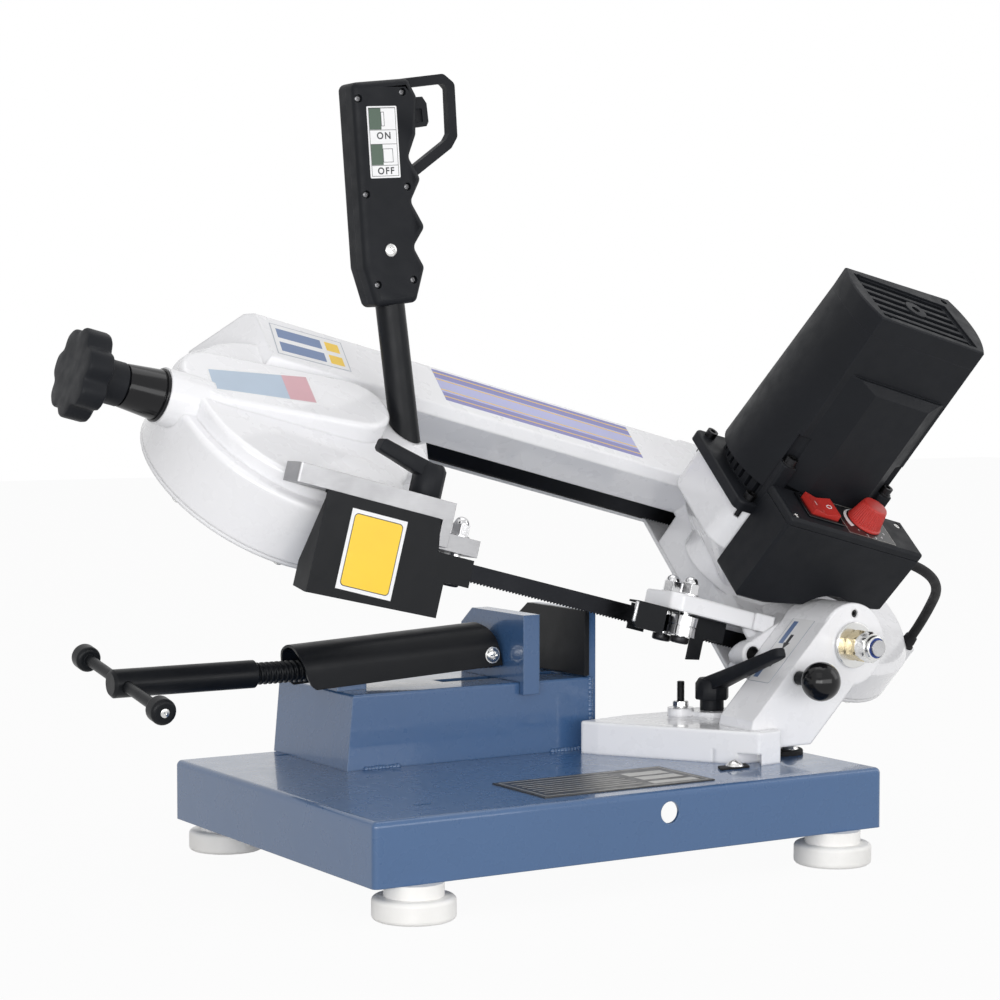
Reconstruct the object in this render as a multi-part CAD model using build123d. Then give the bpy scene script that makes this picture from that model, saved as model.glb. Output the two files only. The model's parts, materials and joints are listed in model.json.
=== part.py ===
from build123d import *
from math import acos, cos, hypot, pi, radians, sin, tan
import os

# Clearances, radial or per side, in millimetres
RUN = 0.05          # running fit of a shaft in its hole
FREE = 0.4          # moving faces that must never touch
SLIDE = 0.15        # flat sliding faces
NEAR = 0.3          # faces that stand beside each other

# Base tray and feet
BASE_L = 415.0
BASE_W = 300.0
TRAY_H = 43.0
SHEET = 2.5
FOOT_D = 55.0
FOOT_H = 24.0
FOOT_IN_X = 35.5
FOOT_IN_Y = 12.0
BOLT_R = 3.0
STOP_ROD_R = 7.5
STOP_ROD_X = 21.0
STOP_ROD_Z = 52.0

# Vise
BED_X0 = -122.0
BED_X1 = 79.0
BED_Y0 = 35.0
BED_Y1 = 150.0
BED_H = 54.0
BED_WALL = 4.0
JAW_H = 50.0
JAW_T = 14.0
JAW_Y1 = 130.0
FACING_T = 4.0
JAW_OPENING = 44.0
SCREW_R = 8.0
SCREW_Y = 74.0
SCREW_UP = 15.0
GRIP_R = 10.0
GRIP_X0 = -290.0
GRIP_X1 = -180.0
GUARD_R = 19.0
GUARD_T = 2.0
GUARD_X0 = -153.0
BAR_R = 4.0
BAR_L = 130.0
BAR_X = -281.0
BAR_TILT = 10.0
TONGUE_W = 14.0

# Mitre swivel
MITRE_X = 163.0
MITRE_Y = -6.0
FAN_H = 24.0
STUD_R = 7.0
STOP_X = 142.0
STOP_Y = 5.0
STOP_R = 3.0
LEVER_REACH = 94.0
LEVER_RISE = 20.5

# Bow pivot, along Y
PIVOT_X = 231.0
PIVOT_Z = 148.0
PIVOT_R = 10.0
WIRE_R = 1.8
BOSS_R = 31.0
LUG_R = 26.0
BOSS_Y0 = -88.0
BOSS_Y1 = -38.0
RAISE = 14.6
PIN_X = 181.0
PIN_Z = 126.5
PIN_R = 5.0
BOW_DOWN = 14.0      # degrees from the drawn pose down to the end of the cut
STUB_R = 6.0
WASHER_R = 17.0
NUT_FLATS = 20.0

# Wheels and blade
TILT = 36.0
LOOP = 1440.0
BLADE_W = 13.0
BLADE_T = 0.65
BLADE_Y = -14.0
BLADE_DROP = 13.9
DRIVE_AHEAD = 52.3
RIM_W = 16.0

# Bow casting
HOUSING_R = 94.0
WALL = 8.0
ROOM = 10.0          # from a wheel's rim to the wall around it
RIM_C = -16.0
STEP_TOP = 31.0
STEP_IN = 10.0
IDLER_TOP = 43.0
PAD_TOP = 52.0
PAD_LEAN = 5.0
SPINE_TOP = 50.0
SPINE_B = 119.0
DRIVE_TOP = 16.0
COVER_T = 3.0
SPAN_X0 = 76.0
SPAN_X1 = 376.0

# Gear train, all module 1
MODULE = 1.0
PINION_Z = 18
GEAR_Z = 52
OUTPUT_Z = 67
GEARBOX_R = 44.0
GEARBOX_TOP = 56.0
TOWER_TOP = 92.0
SHAFT_R = 7.5
CLUSTER_R = 4.0
ROTOR_R = 6.0

# Motor
MOTOR_L = 108.0
MOTOR_W = 76.0
MOTOR_BULGE = 7.0
MOTOR_FLARE = 8.0
BACK_SLANT = 9.0
FRONT_CUT = 8.0
MOTOR_END = 255.0
FLANGE_T = 8.0
BAND_H = 12.0
EAR_H = 38.0
PANEL_H = 121.0
PANEL_OUT = 9.0
CAP_T = 16.0
STATOR_R = 30.0
AIR_GAP = 0.5
ARMATURE_R = 20.0

# Tension unit
TENSION_C = 28.0
TENSION_R = 5.0
SLEEVE_R = 17.5
SLEEVE_L = 28.0
KNOB_R = 31.0
KNOB_T = 18.5
KNOB_HUB_R = 15.0
KNOB_HUB_L = 18.5
NECK_R = 11.5
AXLE_R = 8.5

# Blade guides
ROLLER_R = 11.0
ROLLER_W = 15.0
ROLLER_PIN_R = 4.0
FRONT_U = -314.0
REAR_AHEAD = 57.1
BAR_TOP = 27.0
BAR_H = 13.0
BAR_Y0 = -62.0
BAR_Y1 = -40.0
BAR_U0 = -465.0
CLAMP_U = -360.0
CLAMP_Y = -46.0
CLAMP_R = 4.0
GUIDE_LOW = -4.0
FRONT_T = 12.0
REAR_T = 13.0
LEG_U = -343.0

# Control box on the near side of the gearbox
BOX_A0 = 346.0
BOX_A1 = 476.0
BOX_B0 = -86.0
BOX_TOP = 120.5
ROCKER_A = 383.0
KNOB_A = 427.0
SWITCH_B = -63.0
ROCKER_L = 27.0
ROCKER_W = 22.0
ROCKER_PIN_R = 1.2
LEAD_R = 4.0
LEAD_AT = 15.0        # degrees around the drive housing

# Handle
LEAN = 22.0
HANDLE_U = -334.0
HANDLE_W = 61.7
HANDLE_Y = 37.0
TUBE_R = 10.5
TUBE_BORE = 8.5
GRIP_T = 26.0
HOOP_T = 7.0
TRIGGER_T = 12.0
TRIGGER_S0 = 228.5
TRIGGER_S1 = 249.5

# Values that follow from the ones above
TOP = FOOT_H + TRAY_H
FOOT_X = BASE_L / 2 - FOOT_IN_X
FOOT_Y = BASE_W / 2 - FOOT_IN_Y
BED_TOP = TOP + BED_H
SCREW_Z = BED_TOP + SCREW_UP
FACE_X = BED_X1 - FACING_T
JAW_X1 = FACE_X - JAW_OPENING
JAW_X0 = JAW_X1 - JAW_T
JAW_TOP = BED_TOP + JAW_H
FAN_TOP = TOP + FAN_H
WHEEL_R = HOUSING_R - WALL - ROOM
FLANGE_R = WHEEL_R + 3
SPACING = (LOOP - 2 * pi * WHEEL_R) / 2
IDLER_U = DRIVE_AHEAD - SPACING
DRIVE_RISE = WHEEL_R * sin(radians(TILT)) - BLADE_DROP
WHEEL_Y = BLADE_Y + WHEEL_R * cos(radians(TILT))
CAVITY_R = HOUSING_R - WALL
SEAT_A = -HOUSING_R - 10
WALL_U = SPAN_X1 + IDLER_U
REAR_U = WALL_U - REAR_AHEAD
CLUSTER_A = SPACING - MODULE * (PINION_Z + OUTPUT_Z) / 2
MOTOR_A = CLUSTER_A - MODULE * (PINION_Z + GEAR_Z) / 2
MOTOR_BASE = TOWER_TOP + FLANGE_T
MOTOR_LIP = MOTOR_BASE + BAND_H
BAR_BOTTOM = BAR_TOP - BAR_H
ROLLER_OFF = BLADE_T / 2 + RUN + ROLLER_R
DOWN = radians(RAISE - BOW_DOWN)
SOCKET_U = (PIN_X - PIVOT_X) * cos(DOWN) - (PIN_Z - PIVOT_Z) * sin(DOWN)
SOCKET_W = (PIN_X - PIVOT_X) * sin(DOWN) + (PIN_Z - PIVOT_Z) * cos(DOWN)

# Frames of the bow: side frame at the pivot, wheel frame at the idler centre, handle frame at its foot
U_DIR = Vector(cos(radians(RAISE)), 0, -sin(radians(RAISE)))
W_DIR = Vector(sin(radians(RAISE)), 0, cos(radians(RAISE)))
N_DIR = W_DIR * cos(radians(TILT)) + Vector(0, -sin(radians(TILT)), 0)
IDLER = Vector(PIVOT_X, WHEEL_Y, PIVOT_Z) + U_DIR * IDLER_U + W_DIR * DRIVE_RISE
SIDE = Plane(origin=(PIVOT_X, 0, PIVOT_Z), x_dir=U_DIR, z_dir=W_DIR).location
WHEELS = Plane(origin=IDLER, x_dir=U_DIR, z_dir=N_DIR).location
HANDLE = SIDE * Pos(HANDLE_U, HANDLE_Y, HANDLE_W) * Rot(0, -LEAN, 0)


def block(x0, x1, y0, y1, z0, z1):
    return Pos((x0 + x1) / 2, (y0 + y1) / 2, (z0 + z1) / 2) * Box(x1 - x0, y1 - y0, z1 - z0)


def rod(x, y, z0, z1, r):
    return Pos(x, y, (z0 + z1) / 2) * Cylinder(r, z1 - z0)


def rod_x(x0, x1, y, z, r):
    return Pos((x0 + x1) / 2, y, z) * Rot(0, 90, 0) * Cylinder(r, x1 - x0)


def rod_y(x, y0, y1, z, r):
    return Pos(x, (y0 + y1) / 2, z) * Rot(90, 0, 0) * Cylinder(r, y1 - y0)


def ring(x, y, z0, z1, r_out, r_in):
    return rod(x, y, z0, z1, r_out) - rod(x, y, z0 - 1, z1 + 1, r_in)


def prism(points, z0, z1, r=0):
    """Polygon in XY, corners rounded by r, from z0 to z1."""
    face = make_face(Polyline(*points, close=True))
    if r:
        face = fillet(face.vertices(), r)
    return Pos(0, 0, z0) * extrude(face, z1 - z0, dir=(0, 0, 1))


def side_prism(points, y0, y1, r=0):
    """Polygon in XZ, corners rounded by r, from y0 to y1."""
    face = make_face(Polyline(*points, close=True))
    if r:
        face = fillet(face.vertices(), r)
    return Pos(0, y1, 0) * Rot(90, 0, 0) * extrude(face, y1 - y0, dir=(0, 0, 1))


def end_prism(points, x0, x1):
    """Polygon in YZ, from x0 to x1."""
    return Rot(0, 0, 90) * Rot(90, 0, 0) * prism(points, x0, x1)


def soft_box(x0, x1, y0, y1, z0, z1, corner, edge):
    """Block with rounded upright corners and a rounded top edge."""
    face = Pos((x0 + x1) / 2, (y0 + y1) / 2) * RectangleRounded(x1 - x0, y1 - y0, corner)
    body = Pos(0, 0, z0) * extrude(face, z1 - z0, dir=(0, 0, 1))
    return fillet(body.edges().group_by(Axis.Z)[-1], edge)


def stadium(a0, a1, r, z0, z1, edge=0):
    """Racetrack along X around two centres, with a rounded top edge."""
    face = Pos((a0 + a1) / 2, 0) * SlotCenterToCenter(a1 - a0, 2 * r)
    body = Pos(0, 0, z0) * extrude(face, z1 - z0, dir=(0, 0, 1))
    if edge:
        body = fillet(body.edges().group_by(Axis.Z)[-1], edge)
    return body


def hexagon(x, y, z0, z1, flats):
    face = Pos(x, y) * RegularPolygon(flats / 2, 6, major_radius=False)
    return Pos(0, 0, z0) * extrude(face, z1 - z0, dir=(0, 0, 1))


def cap_screw(x, y, z, length, r):
    """Socket screw with its head above z and its shank below."""
    head = rod(x, y, z, z + 2 * r, 1.75 * r) - hexagon(x, y, z + r, z + 2 * r + 1, 1.7 * r)
    return head + rod(x, y, z - length, z, r)


def pan_screw(x, y, z, length, r):
    """Pan-head screw with its head above z and its shank below."""
    dome = Pos(x, y, z - r) * Sphere(2.4 * r) & block(x - 9, x + 9, y - 9, y + 9, z, z + 9)
    cross = block(x - 1.5 * r, x + 1.5 * r, y - 0.3, y + 0.3, z + 0.8 * r, z + 9)
    cross += block(x - 0.3, x + 0.3, y - 1.5 * r, y + 1.5 * r, z + 0.8 * r, z + 9)
    return dome - cross + rod(x, y, z - length, z, r)


def acorn_nut(x, y, z, flats):
    low = rod(x, y, z, z + 0.1 * flats, 0.62 * flats) + hexagon(x, y, z, z + 0.75 * flats, flats)
    dome = Pos(x, y, z + 0.75 * flats) * Sphere(0.45 * flats)
    return low + (dome & block(x - 20, x + 20, y - 20, y + 20, z + 0.3 * flats, z + 20))


def gear(teeth, z0, z1, bore, turn=0.0):
    """Spur gear of straight-sided teeth inside the involute, one tooth on +X before the turn."""
    pitch = MODULE * teeth / 2
    base = pitch * cos(radians(20))
    tip = pitch + 0.9 * MODULE
    root = pitch - 1.3 * MODULE
    half = pi / (2 * teeth) - 0.06 / pitch
    inv = tan(radians(20)) - radians(20)

    def spread(r):
        press = acos(min(1.0, base / r))
        return half + inv - (tan(press) - press)

    flank = [(root, spread(max(root, base))), (pitch, half), (tip, spread(tip))]
    points = []
    for i in range(teeth):
        mid = 2 * pi * i / teeth + radians(turn)
        points += [(r * cos(mid - h), r * sin(mid - h)) for r, h in flank]
        points += [(r * cos(mid + h), r * sin(mid + h)) for r, h in reversed(flank)]
    return prism(points, z0, z1) - rod(0, 0, z0 - 1, z1 + 1, bore)


def base_pieces():
    outer = block(-BASE_L / 2, BASE_L / 2, -BASE_W / 2, BASE_W / 2, FOOT_H, TOP)
    outer = fillet(outer.edges().filter_by(Axis.Z) + outer.edges().group_by(Axis.Z)[-1], 4)
    in_x = BASE_L / 2 - SHEET
    in_y = BASE_W / 2 - SHEET
    tray = outer - block(-in_x, in_x, -in_y, in_y, FOOT_H - 1, TOP - SHEET)
    feet = Part()
    bolts = Part()
    for sx in (-1, 1):
        for sy in (-1, 1):
            x = sx * FOOT_X
            y = sy * FOOT_Y
            tab = Pos(sx * (in_x - 35), sy * (in_y - 17), FOOT_H + SHEET / 2) * Box(70, 34, SHEET)
            tray += tab
            tray -= rod(x, y, FOOT_H - 1, FOOT_H + 9, BOLT_R)
            foot = rod(x, y, 0, 15, FOOT_D / 2)
            foot = fillet(foot.edges().filter_by(GeomType.CIRCLE), 3)
            foot += rod(x, y, 14, FOOT_H, FOOT_D * 0.36)
            foot -= rod(x, y, -1, 7, 3.2 * BOLT_R)
            feet += foot - rod(x, y, 0, FOOT_H + 1, BOLT_R)
            bolts += hexagon(x, y, 7 - 1.3 * BOLT_R, 7, 3.4 * BOLT_R) + rod(x, y, 7, FOOT_H + 9, BOLT_R)
            bolts += hexagon(x, y, FOOT_H + SHEET, FOOT_H + 7, 3.4 * BOLT_R) - rod(x, y, 20, 40, BOLT_R)
    tray -= rod_y(STOP_ROD_X, -BASE_W / 2 - 5, -BASE_W / 2 + 10, STOP_ROD_Z, STOP_ROD_R)
    for x, y in ((-129, BASE_W / 2 - 22), (-148, 42 - BASE_W / 2)):
        tray -= Pos(x, y, TOP) * extrude(SlotOverall(14, 5), 10, both=True)
    tray -= rod(MITRE_X, MITRE_Y, TOP - 9, TOP + 9, STUD_R)

    stud = rod(MITRE_X, MITRE_Y, TOP - SHEET, FAN_TOP + 24, STUD_R)
    stud += hexagon(MITRE_X, MITRE_Y, TOP - SHEET - 9, TOP - SHEET, 3.2 * STUD_R)

    # Bracket in front of the fan plate and the rubber disc under the post
    bracket = prism([(100, -101), (126, -101), (131, -90), (106, -90)], TOP, TOP + 1.5)
    disc = fillet(rod(187, -60, TOP, TOP + 4, 16).edges().group_by(Axis.Z)[-1], 1.5)
    stops = Part()
    for body, x, y, z in ((bracket, 116.6, -95.6, TOP + 1.5), (disc, 190, -66, TOP + 4)):
        stops += body - rod(x, y, TOP - 9, TOP + 9, BOLT_R)
        tray -= rod(x, y, TOP - 9, TOP + 9, BOLT_R)
        bolts += pan_screw(x, y, z, 12, BOLT_R)
    plate = block(-68, 72, 18 - BASE_W / 2, 85 - BASE_W / 2, TOP, TOP + 0.8)
    return {"base_tray": tray, "feet": feet, "base_screws": bolts, "mitre_stud": stud,
            "mitre_stops": stops, "rating_plate": plate}


def vise_pieces():
    bed = side_prism([(BED_X0 - 5, TOP), (BED_X0, BED_TOP), (BED_X1, BED_TOP), (BED_X1, TOP)],
                     BED_Y0, BED_Y1)
    bed = fillet(bed.edges().group_by(Axis.Z)[-1], 2)
    bed -= block(BED_X0 + BED_WALL, BED_X1 - BED_WALL, BED_Y0 + BED_WALL, BED_Y1 - BED_WALL,
                 TOP - 1, BED_TOP - BED_WALL)
    slot_y = TONGUE_W / 2 + 0.5
    bed -= block(-30, BED_X1 - BED_WALL, SCREW_Y - slot_y, SCREW_Y + slot_y, BED_TOP - 9, BED_TOP + 1)
    nut_x1 = BED_X0 + 25
    nut = rod_x(BED_X0 + 1, nut_x1, SCREW_Y, SCREW_Z, SCREW_R + 5)
    nut += block(BED_X0 + 1, nut_x1, SCREW_Y - SCREW_R - 5, SCREW_Y + SCREW_R + 5, BED_TOP - 1, SCREW_Z)
    bed += nut
    bed -= rod_x(BED_X0 - 9, nut_x1 + 1, SCREW_Y, SCREW_Z, SCREW_R + RUN)

    jaw_shape = [(BED_Y0 + 2, TOP), (BED_Y0 + 2, JAW_TOP), (JAW_Y1 - 15, JAW_TOP), (JAW_Y1, JAW_TOP - 10),
                 (JAW_Y1, TOP)]
    upright = end_prism(jaw_shape, BED_X1, BED_X1 + 7)
    gusset = side_prism([(BED_X1 + 7, TOP), (BED_X1 + 7, JAW_TOP - 25), (BED_X1 + 13, JAW_TOP - 30),
                         (BED_X1 + 40, TOP)], 78, 86)
    facing_shape = [(BED_Y0, BED_TOP + 1), (BED_Y0, JAW_TOP), (JAW_Y1 - 15, JAW_TOP),
                    (JAW_Y1, JAW_TOP - 10), (JAW_Y1, BED_TOP + 1)]
    facing = end_prism(facing_shape, FACE_X, BED_X1)

    y0 = BED_Y0 - 6
    y1 = JAW_Y1 - 12
    low = BED_TOP + SLIDE
    jaw_side = [(y0, low - 9), (y0, JAW_TOP), (y1 - 16, JAW_TOP), (y1, JAW_TOP - 12), (y1, low),
                (BED_Y0 - 0.5, low), (BED_Y0 - 0.5, low - 9)]
    jaw = end_prism(jaw_side, JAW_X0, JAW_X1)
    jaw += block(JAW_X0 + 2, JAW_X1 - 3, SCREW_Y - TONGUE_W / 2, SCREW_Y + TONGUE_W / 2, BED_TOP - 8, low + 1)
    tip = 0.6 * SCREW_R
    jaw -= rod_x(JAW_X0 - 1, JAW_X0 + 10, SCREW_Y, SCREW_Z, tip + RUN)

    guard = Pos(0, 0, SCREW_Z) * (rod_x(GUARD_X0, JAW_X0, SCREW_Y, 0, GUARD_R)
                                  + block(GUARD_X0, JAW_X0, SCREW_Y - GUARD_R, SCREW_Y + GUARD_R, -13, 0))
    hollow_r = GUARD_R - GUARD_T
    guard -= rod_x(GUARD_X0 - 1, JAW_X0 + 1, SCREW_Y, SCREW_Z, hollow_r)
    guard -= block(GUARD_X0 - 1, JAW_X0 + 1, SCREW_Y - hollow_r, SCREW_Y + hollow_r, BED_TOP - 9, SCREW_Z)
    guard -= block(GUARD_X0 - 1, JAW_X0 + 1, 0, 200, BED_TOP - 99, BED_TOP + 2)

    screw = rod_x(GRIP_X1 - 1, JAW_X0 - FREE, SCREW_Y, SCREW_Z, SCREW_R)
    screw += rod_x(JAW_X0 - 2, JAW_X0 + 9.5, SCREW_Y, SCREW_Z, tip)
    grip = rod_x(GRIP_X0, GRIP_X1, SCREW_Y, SCREW_Z, GRIP_R)
    screw += chamfer(grip.edges().filter_by(GeomType.CIRCLE), 1)
    bar_place = Pos(BAR_X, SCREW_Y, SCREW_Z) * Rot(BAR_TILT, 0, 0)
    screw -= bar_place * rod_y(0, -50, 50, 0, BAR_R + RUN)
    bar = rod_y(0, -BAR_L / 2, BAR_L / 2, 0, BAR_R)
    for sy in (-1, 1):
        cap = Pos(0, sy * BAR_L / 2, 0) * Rot(90, 0, 0) * Cylinder(2.3 * BAR_R, 3.4 * BAR_R)
        bar += fillet(cap.edges().filter_by(GeomType.CIRCLE), 3)
    return {"vise_bed": bed, "fixed_jaw": upright + gusset, "jaw_plate": facing, "vise_jaw": jaw,
            "screw_guard": guard, "vise_screw": screw, "tommy_bar": bar_place * bar}


def swivel_pieces():
    fan = prism([(61, 21), (68, 7), (137, -98), (158, -96), (164, -84), (168, -42), (196, -36), (198, 26),
                 (110, 30)], TOP, FAN_TOP, 2)
    fan = fillet(fan.edges().group_by(Axis.Z)[-1], 2)
    fan -= prism([(90, -110), (132, -110), (147, -84), (108, -84)], TOP - 1, TOP + 8)
    post = side_prism([(134, TOP + 10), (139, FAN_TOP + 7), (PIVOT_X - 21.5, PIVOT_Z + 21.5),
                       (PIVOT_X + 16, PIVOT_Z - 16), (192, TOP + 10)], BOSS_Y0, BOSS_Y1)
    boss = rod_y(PIVOT_X, BOSS_Y0, BOSS_Y1, PIVOT_Z, BOSS_R)
    boss = fillet(boss.edges().group_by(Axis.Y)[0], 2)
    post -= block(100, 190, -49, BOSS_Y1 + 1, FAN_TOP, 135)
    body = fan + post + boss
    body -= ring(MITRE_X, MITRE_Y, TOP - 1, TOP + 10, 77, 40) & block(118, 240, -99, MITRE_Y, TOP - 1, TOP + 10)
    body += rod(MITRE_X, MITRE_Y, FAN_TOP - 1, FAN_TOP + 4, 2.5 * STUD_R)
    body += rod(STOP_X, STOP_Y, FAN_TOP - 1, FAN_TOP + 6, 10)
    body -= rod(MITRE_X, MITRE_Y, TOP - 1, FAN_TOP + 9, STUD_R + RUN)
    body -= rod(STOP_X, STOP_Y, FAN_TOP - 14, FAN_TOP + 9, STOP_R)
    body -= rod_y(PIVOT_X, BOSS_Y0 - 1, BOSS_Y1 + 1, PIVOT_Z, PIVOT_R + RUN)
    body -= rod_y(PIVOT_X, BOSS_Y1 - 26, BOSS_Y1 + 1, PIVOT_Z, 2.1 * PIVOT_R)
    body -= rod_y(PIVOT_X + 2, BOSS_Y0 - 1, BOSS_Y0 + 10, PIVOT_Z + BOSS_R - 8, 3)
    body -= rod_y(PIN_X, BOSS_Y0 - 1, BOSS_Y1 + 1, PIN_Z, PIN_R + RUN)

    stop = rod(STOP_X, STOP_Y, FAN_TOP - 13, FAN_TOP + 26, STOP_R)
    nut = hexagon(STOP_X, STOP_Y, FAN_TOP + 6, FAN_TOP + 11, 3.4 * STOP_R)
    stop += nut - rod(STOP_X, STOP_Y, FAN_TOP, FAN_TOP + 20, STOP_R)

    foot = FAN_TOP + 4 + SLIDE
    hub = rod(0, 0, foot, foot + 9, 9) + rod(0, 0, foot + 8, foot + 24, 12)
    hub = fillet(hub.edges().group_by(Axis.Z)[-1], 2)
    arm = Pos(0, 0, foot + 19) * Rot(90 - LEVER_RISE, 0, 0) * loft(
        [RectangleRounded(11, 12, 3), Pos(0, 0, LEVER_REACH) * RectangleRounded(9, 8, 3)])
    arm = fillet(arm.edges().group_by(Axis.Y)[0], 2.5)
    lever = Pos(MITRE_X, MITRE_Y, 0) * Rot(0, 0, -2) * (hub + arm)
    lever -= rod(MITRE_X, MITRE_Y, foot - 9, FAN_TOP + 25, STUD_R + RUN)

    plunger = rod_y(PIN_X, BOSS_Y0 - 22, BOSS_Y1 - 0.3, PIN_Z, PIN_R)
    ball = Pos(PIN_X, BOSS_Y0 - 25, PIN_Z) * Sphere(14.3)
    ball -= rod_y(PIN_X, BOSS_Y0 - 22, BOSS_Y0 + 9, PIN_Z, PIN_R)
    return {"swivel_casting": body, "down_stop": stop, "mitre_lever": lever, "lock_plunger": plunger,
            "ball_knob": ball}


def bow_casting():
    """Idler housing, spine, drive housing and lower gearbox in one casting, in the wheel frame."""
    a = SPACING
    idler = Part()
    for inset, c0, c1 in ((0, RIM_C, STEP_TOP), (STEP_IN, STEP_TOP - 9, IDLER_TOP)):
        r = HOUSING_R - inset
        right = SPAN_X0 - inset
        tier = rod(0, 0, c0, c1, r)
        tier += prism([(0, -r), (right, -r), (right, -42), (right + 36, -18), (right + 36, r), (0, r)], c0, c1)
        idler += fillet(tier.edges().group_by(Axis.Z)[-1], 4)
    pad = Pos(-12, 15, PAD_TOP) * Rot(0, -PAD_LEAN, 0) * stadium(-51, 50, 29, -20, 0, 4)
    spine = end_prism([(70, 4), (54, 42), (59, SPINE_TOP), (SPINE_B - 7, SPINE_TOP), (SPINE_B, SPINE_TOP - 7),
                       (SPINE_B, RIM_C), (92, RIM_C), (84, 4)], -40, 405)
    spine = fillet(spine.edges().filter_by(Axis.X).group_by(Axis.Z)[-1], 3)
    spine -= Pos(-12, 0, SPINE_TOP) * Rot(0, 30, 0) * block(-90, 0, 40, 140, -90, 40)
    drive = rod(a, 0, RIM_C, DRIVE_TOP, HOUSING_R)
    drive += block(SPAN_X1, a, -HOUSING_R, HOUSING_R, RIM_C, DRIVE_TOP)
    drive = chamfer(drive.edges().group_by(Axis.Z)[-1], 6)
    reach = a - SPAN_X1
    neck = prism([(SPAN_X1, SPINE_B), (SPAN_X1, -20), (SPAN_X1 + 0.38 * reach, -GEARBOX_R + 8),
                  (SPAN_X1 + 0.8 * reach, 30), (SPAN_X1 + 0.48 * reach, SPINE_B)], RIM_C, SPINE_TOP, 5)
    neck = fillet(neck.edges().group_by(Axis.Z)[-1], 5)
    gearbox = stadium(MOTOR_A, a, GEARBOX_R, DRIVE_TOP - 2, GEARBOX_TOP)
    gusset = loft([Pos(0, 0, DRIVE_TOP - 2) * Pos(SPAN_X1 + 25, 0) * RectangleRounded(46, 70, 8),
                   Pos(0, 0, GEARBOX_TOP) * Pos(MOTOR_A - 33, 0) * RectangleRounded(66, 86, 12)])
    body = idler + pad + spine + drive + neck + gearbox + gusset
    body += rod_x(SEAT_A, 34 + SEAT_A, 0, TENSION_C, SLEEVE_R + 2)
    gland_a = SPACING + (HOUSING_R + LEAD_R + 2) * cos(radians(LEAD_AT))
    gland_b = -(HOUSING_R + LEAD_R + 2) * sin(radians(LEAD_AT))
    body += rod(gland_a, gland_b, RIM_C, 4, 2 * LEAD_R)

    # Lugs at the pivot, under the guide bar and around the handle's foot
    to_wheels = WHEELS.inverse() * SIDE
    front = BOSS_Y1 + NEAR
    lug = rod_y(0, front, 2, 0, LUG_R)
    lug += rod_y(SOCKET_U, front, -20, SOCKET_W, 2 * PIN_R)
    arm = hypot(SOCKET_U, SOCKET_W)
    across = Vector(SOCKET_W / arm, -SOCKET_U / arm)
    corners = [Vector(SOCKET_U, SOCKET_W) - across * 2 * PIN_R, Vector(SOCKET_U, SOCKET_W) + across * 2 * PIN_R,
               across * LUG_R, across * -LUG_R]
    lug += side_prism(corners, front, -20)
    body += to_wheels * lug
    body += to_wheels * block(WALL_U, WALL_U + 18, -36, 5, GUIDE_LOW, GUIDE_LOW + REAR_T)
    body += to_wheels * block(CLAMP_U - 16, LEG_U - 9, -54, -30, -8, BAR_BOTTOM)
    body += WHEELS.inverse() * HANDLE * rod(0, 0, -32, 6, TUBE_R + 4)

    # Hollows: wheels, blade spans, spine and gearbox
    body -= rod(0, 0, RIM_C - 9, STEP_TOP - 5, CAVITY_R)
    body -= rod(0, 0, RIM_C, IDLER_TOP - 5, CAVITY_R - STEP_IN)
    slide_rails = block(-48, 48, 20, 28, 14, IDLER_TOP) + block(-48, 48, -28, -20, 14, IDLER_TOP)
    slide_rails += block(-48, 48, 13, 20, 14, 20) + block(-48, 48, -20, -13, 14, 20)
    body += slide_rails
    body -= rod(a, 0, RIM_C - 9, DRIVE_TOP - 5, CAVITY_R)
    for mid, x0, x1 in ((-WHEEL_R + 2, -1, SPAN_X0 + 9), (-WHEEL_R + 2, SPAN_X1 - 9, a), (WHEEL_R, -1, a)):
        body -= block(x0, x1, mid - 14, mid + 14, RIM_C - 9, 11)
    body -= end_prism([(90, RIM_C - 9), (76, 4), (62, 41), (66, SPINE_TOP - 5),
                                    (SPINE_B - 9, SPINE_TOP - 5), (SPINE_B - 5, SPINE_TOP - 9),
                                    (SPINE_B - 5, RIM_C - 9)], 20, 400)
    body -= stadium(CLUSTER_A, a, GEARBOX_R - 7, DRIVE_TOP + 12, GEARBOX_TOP + 1)
    body -= rod(a, 0, DRIVE_TOP - 9, GEARBOX_TOP, SHAFT_R + 2)
    body -= rod(a, 0, DRIVE_TOP, GEARBOX_TOP, 17.5)
    body -= rod(CLUSTER_A, 0, DRIVE_TOP + 4, GEARBOX_TOP, 11)

    # Guide bar seat, clamp thread, tension hole, handle socket, pivot hole and lock socket
    body -= to_wheels * block(-500, CLAMP_U + 40, -90, BAR_Y1 + 0.5, BAR_BOTTOM - SLIDE, 70)
    body -= to_wheels * rod(CLAMP_U, CLAMP_Y, -6, 30, CLAMP_R + RUN)
    body -= rod_x(SEAT_A - 3, -40, 0, TENSION_C, TENSION_R + FREE)
    body -= WHEELS.inverse() * HANDLE * rod(0, 0, -24, 60, TUBE_R)
    body -= to_wheels * rod_y(0, BOSS_Y1 - 9, BOSS_Y1 + 18, 0, PIVOT_R)
    body -= to_wheels * rod_y(SOCKET_U, BOSS_Y1 - 9, BOSS_Y1 + 8, SOCKET_W, PIN_R + 1)
    body -= to_wheels * rod_y(0, BOSS_Y0, front - 0.01, 0, 60)
    body -= to_wheels * block(REAR_U - 45, WALL_U, -40, 12, GUIDE_LOW, GUIDE_LOW + REAR_T)
    for x, y in cover_screw_points():
        body -= rod(x, y, RIM_C - 1, RIM_C + 9, 2)
    for x, y in gearbox_screw_points():
        body -= rod(x, y, GEARBOX_TOP - 12, GEARBOX_TOP + 1, 2.5)
    return body


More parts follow.
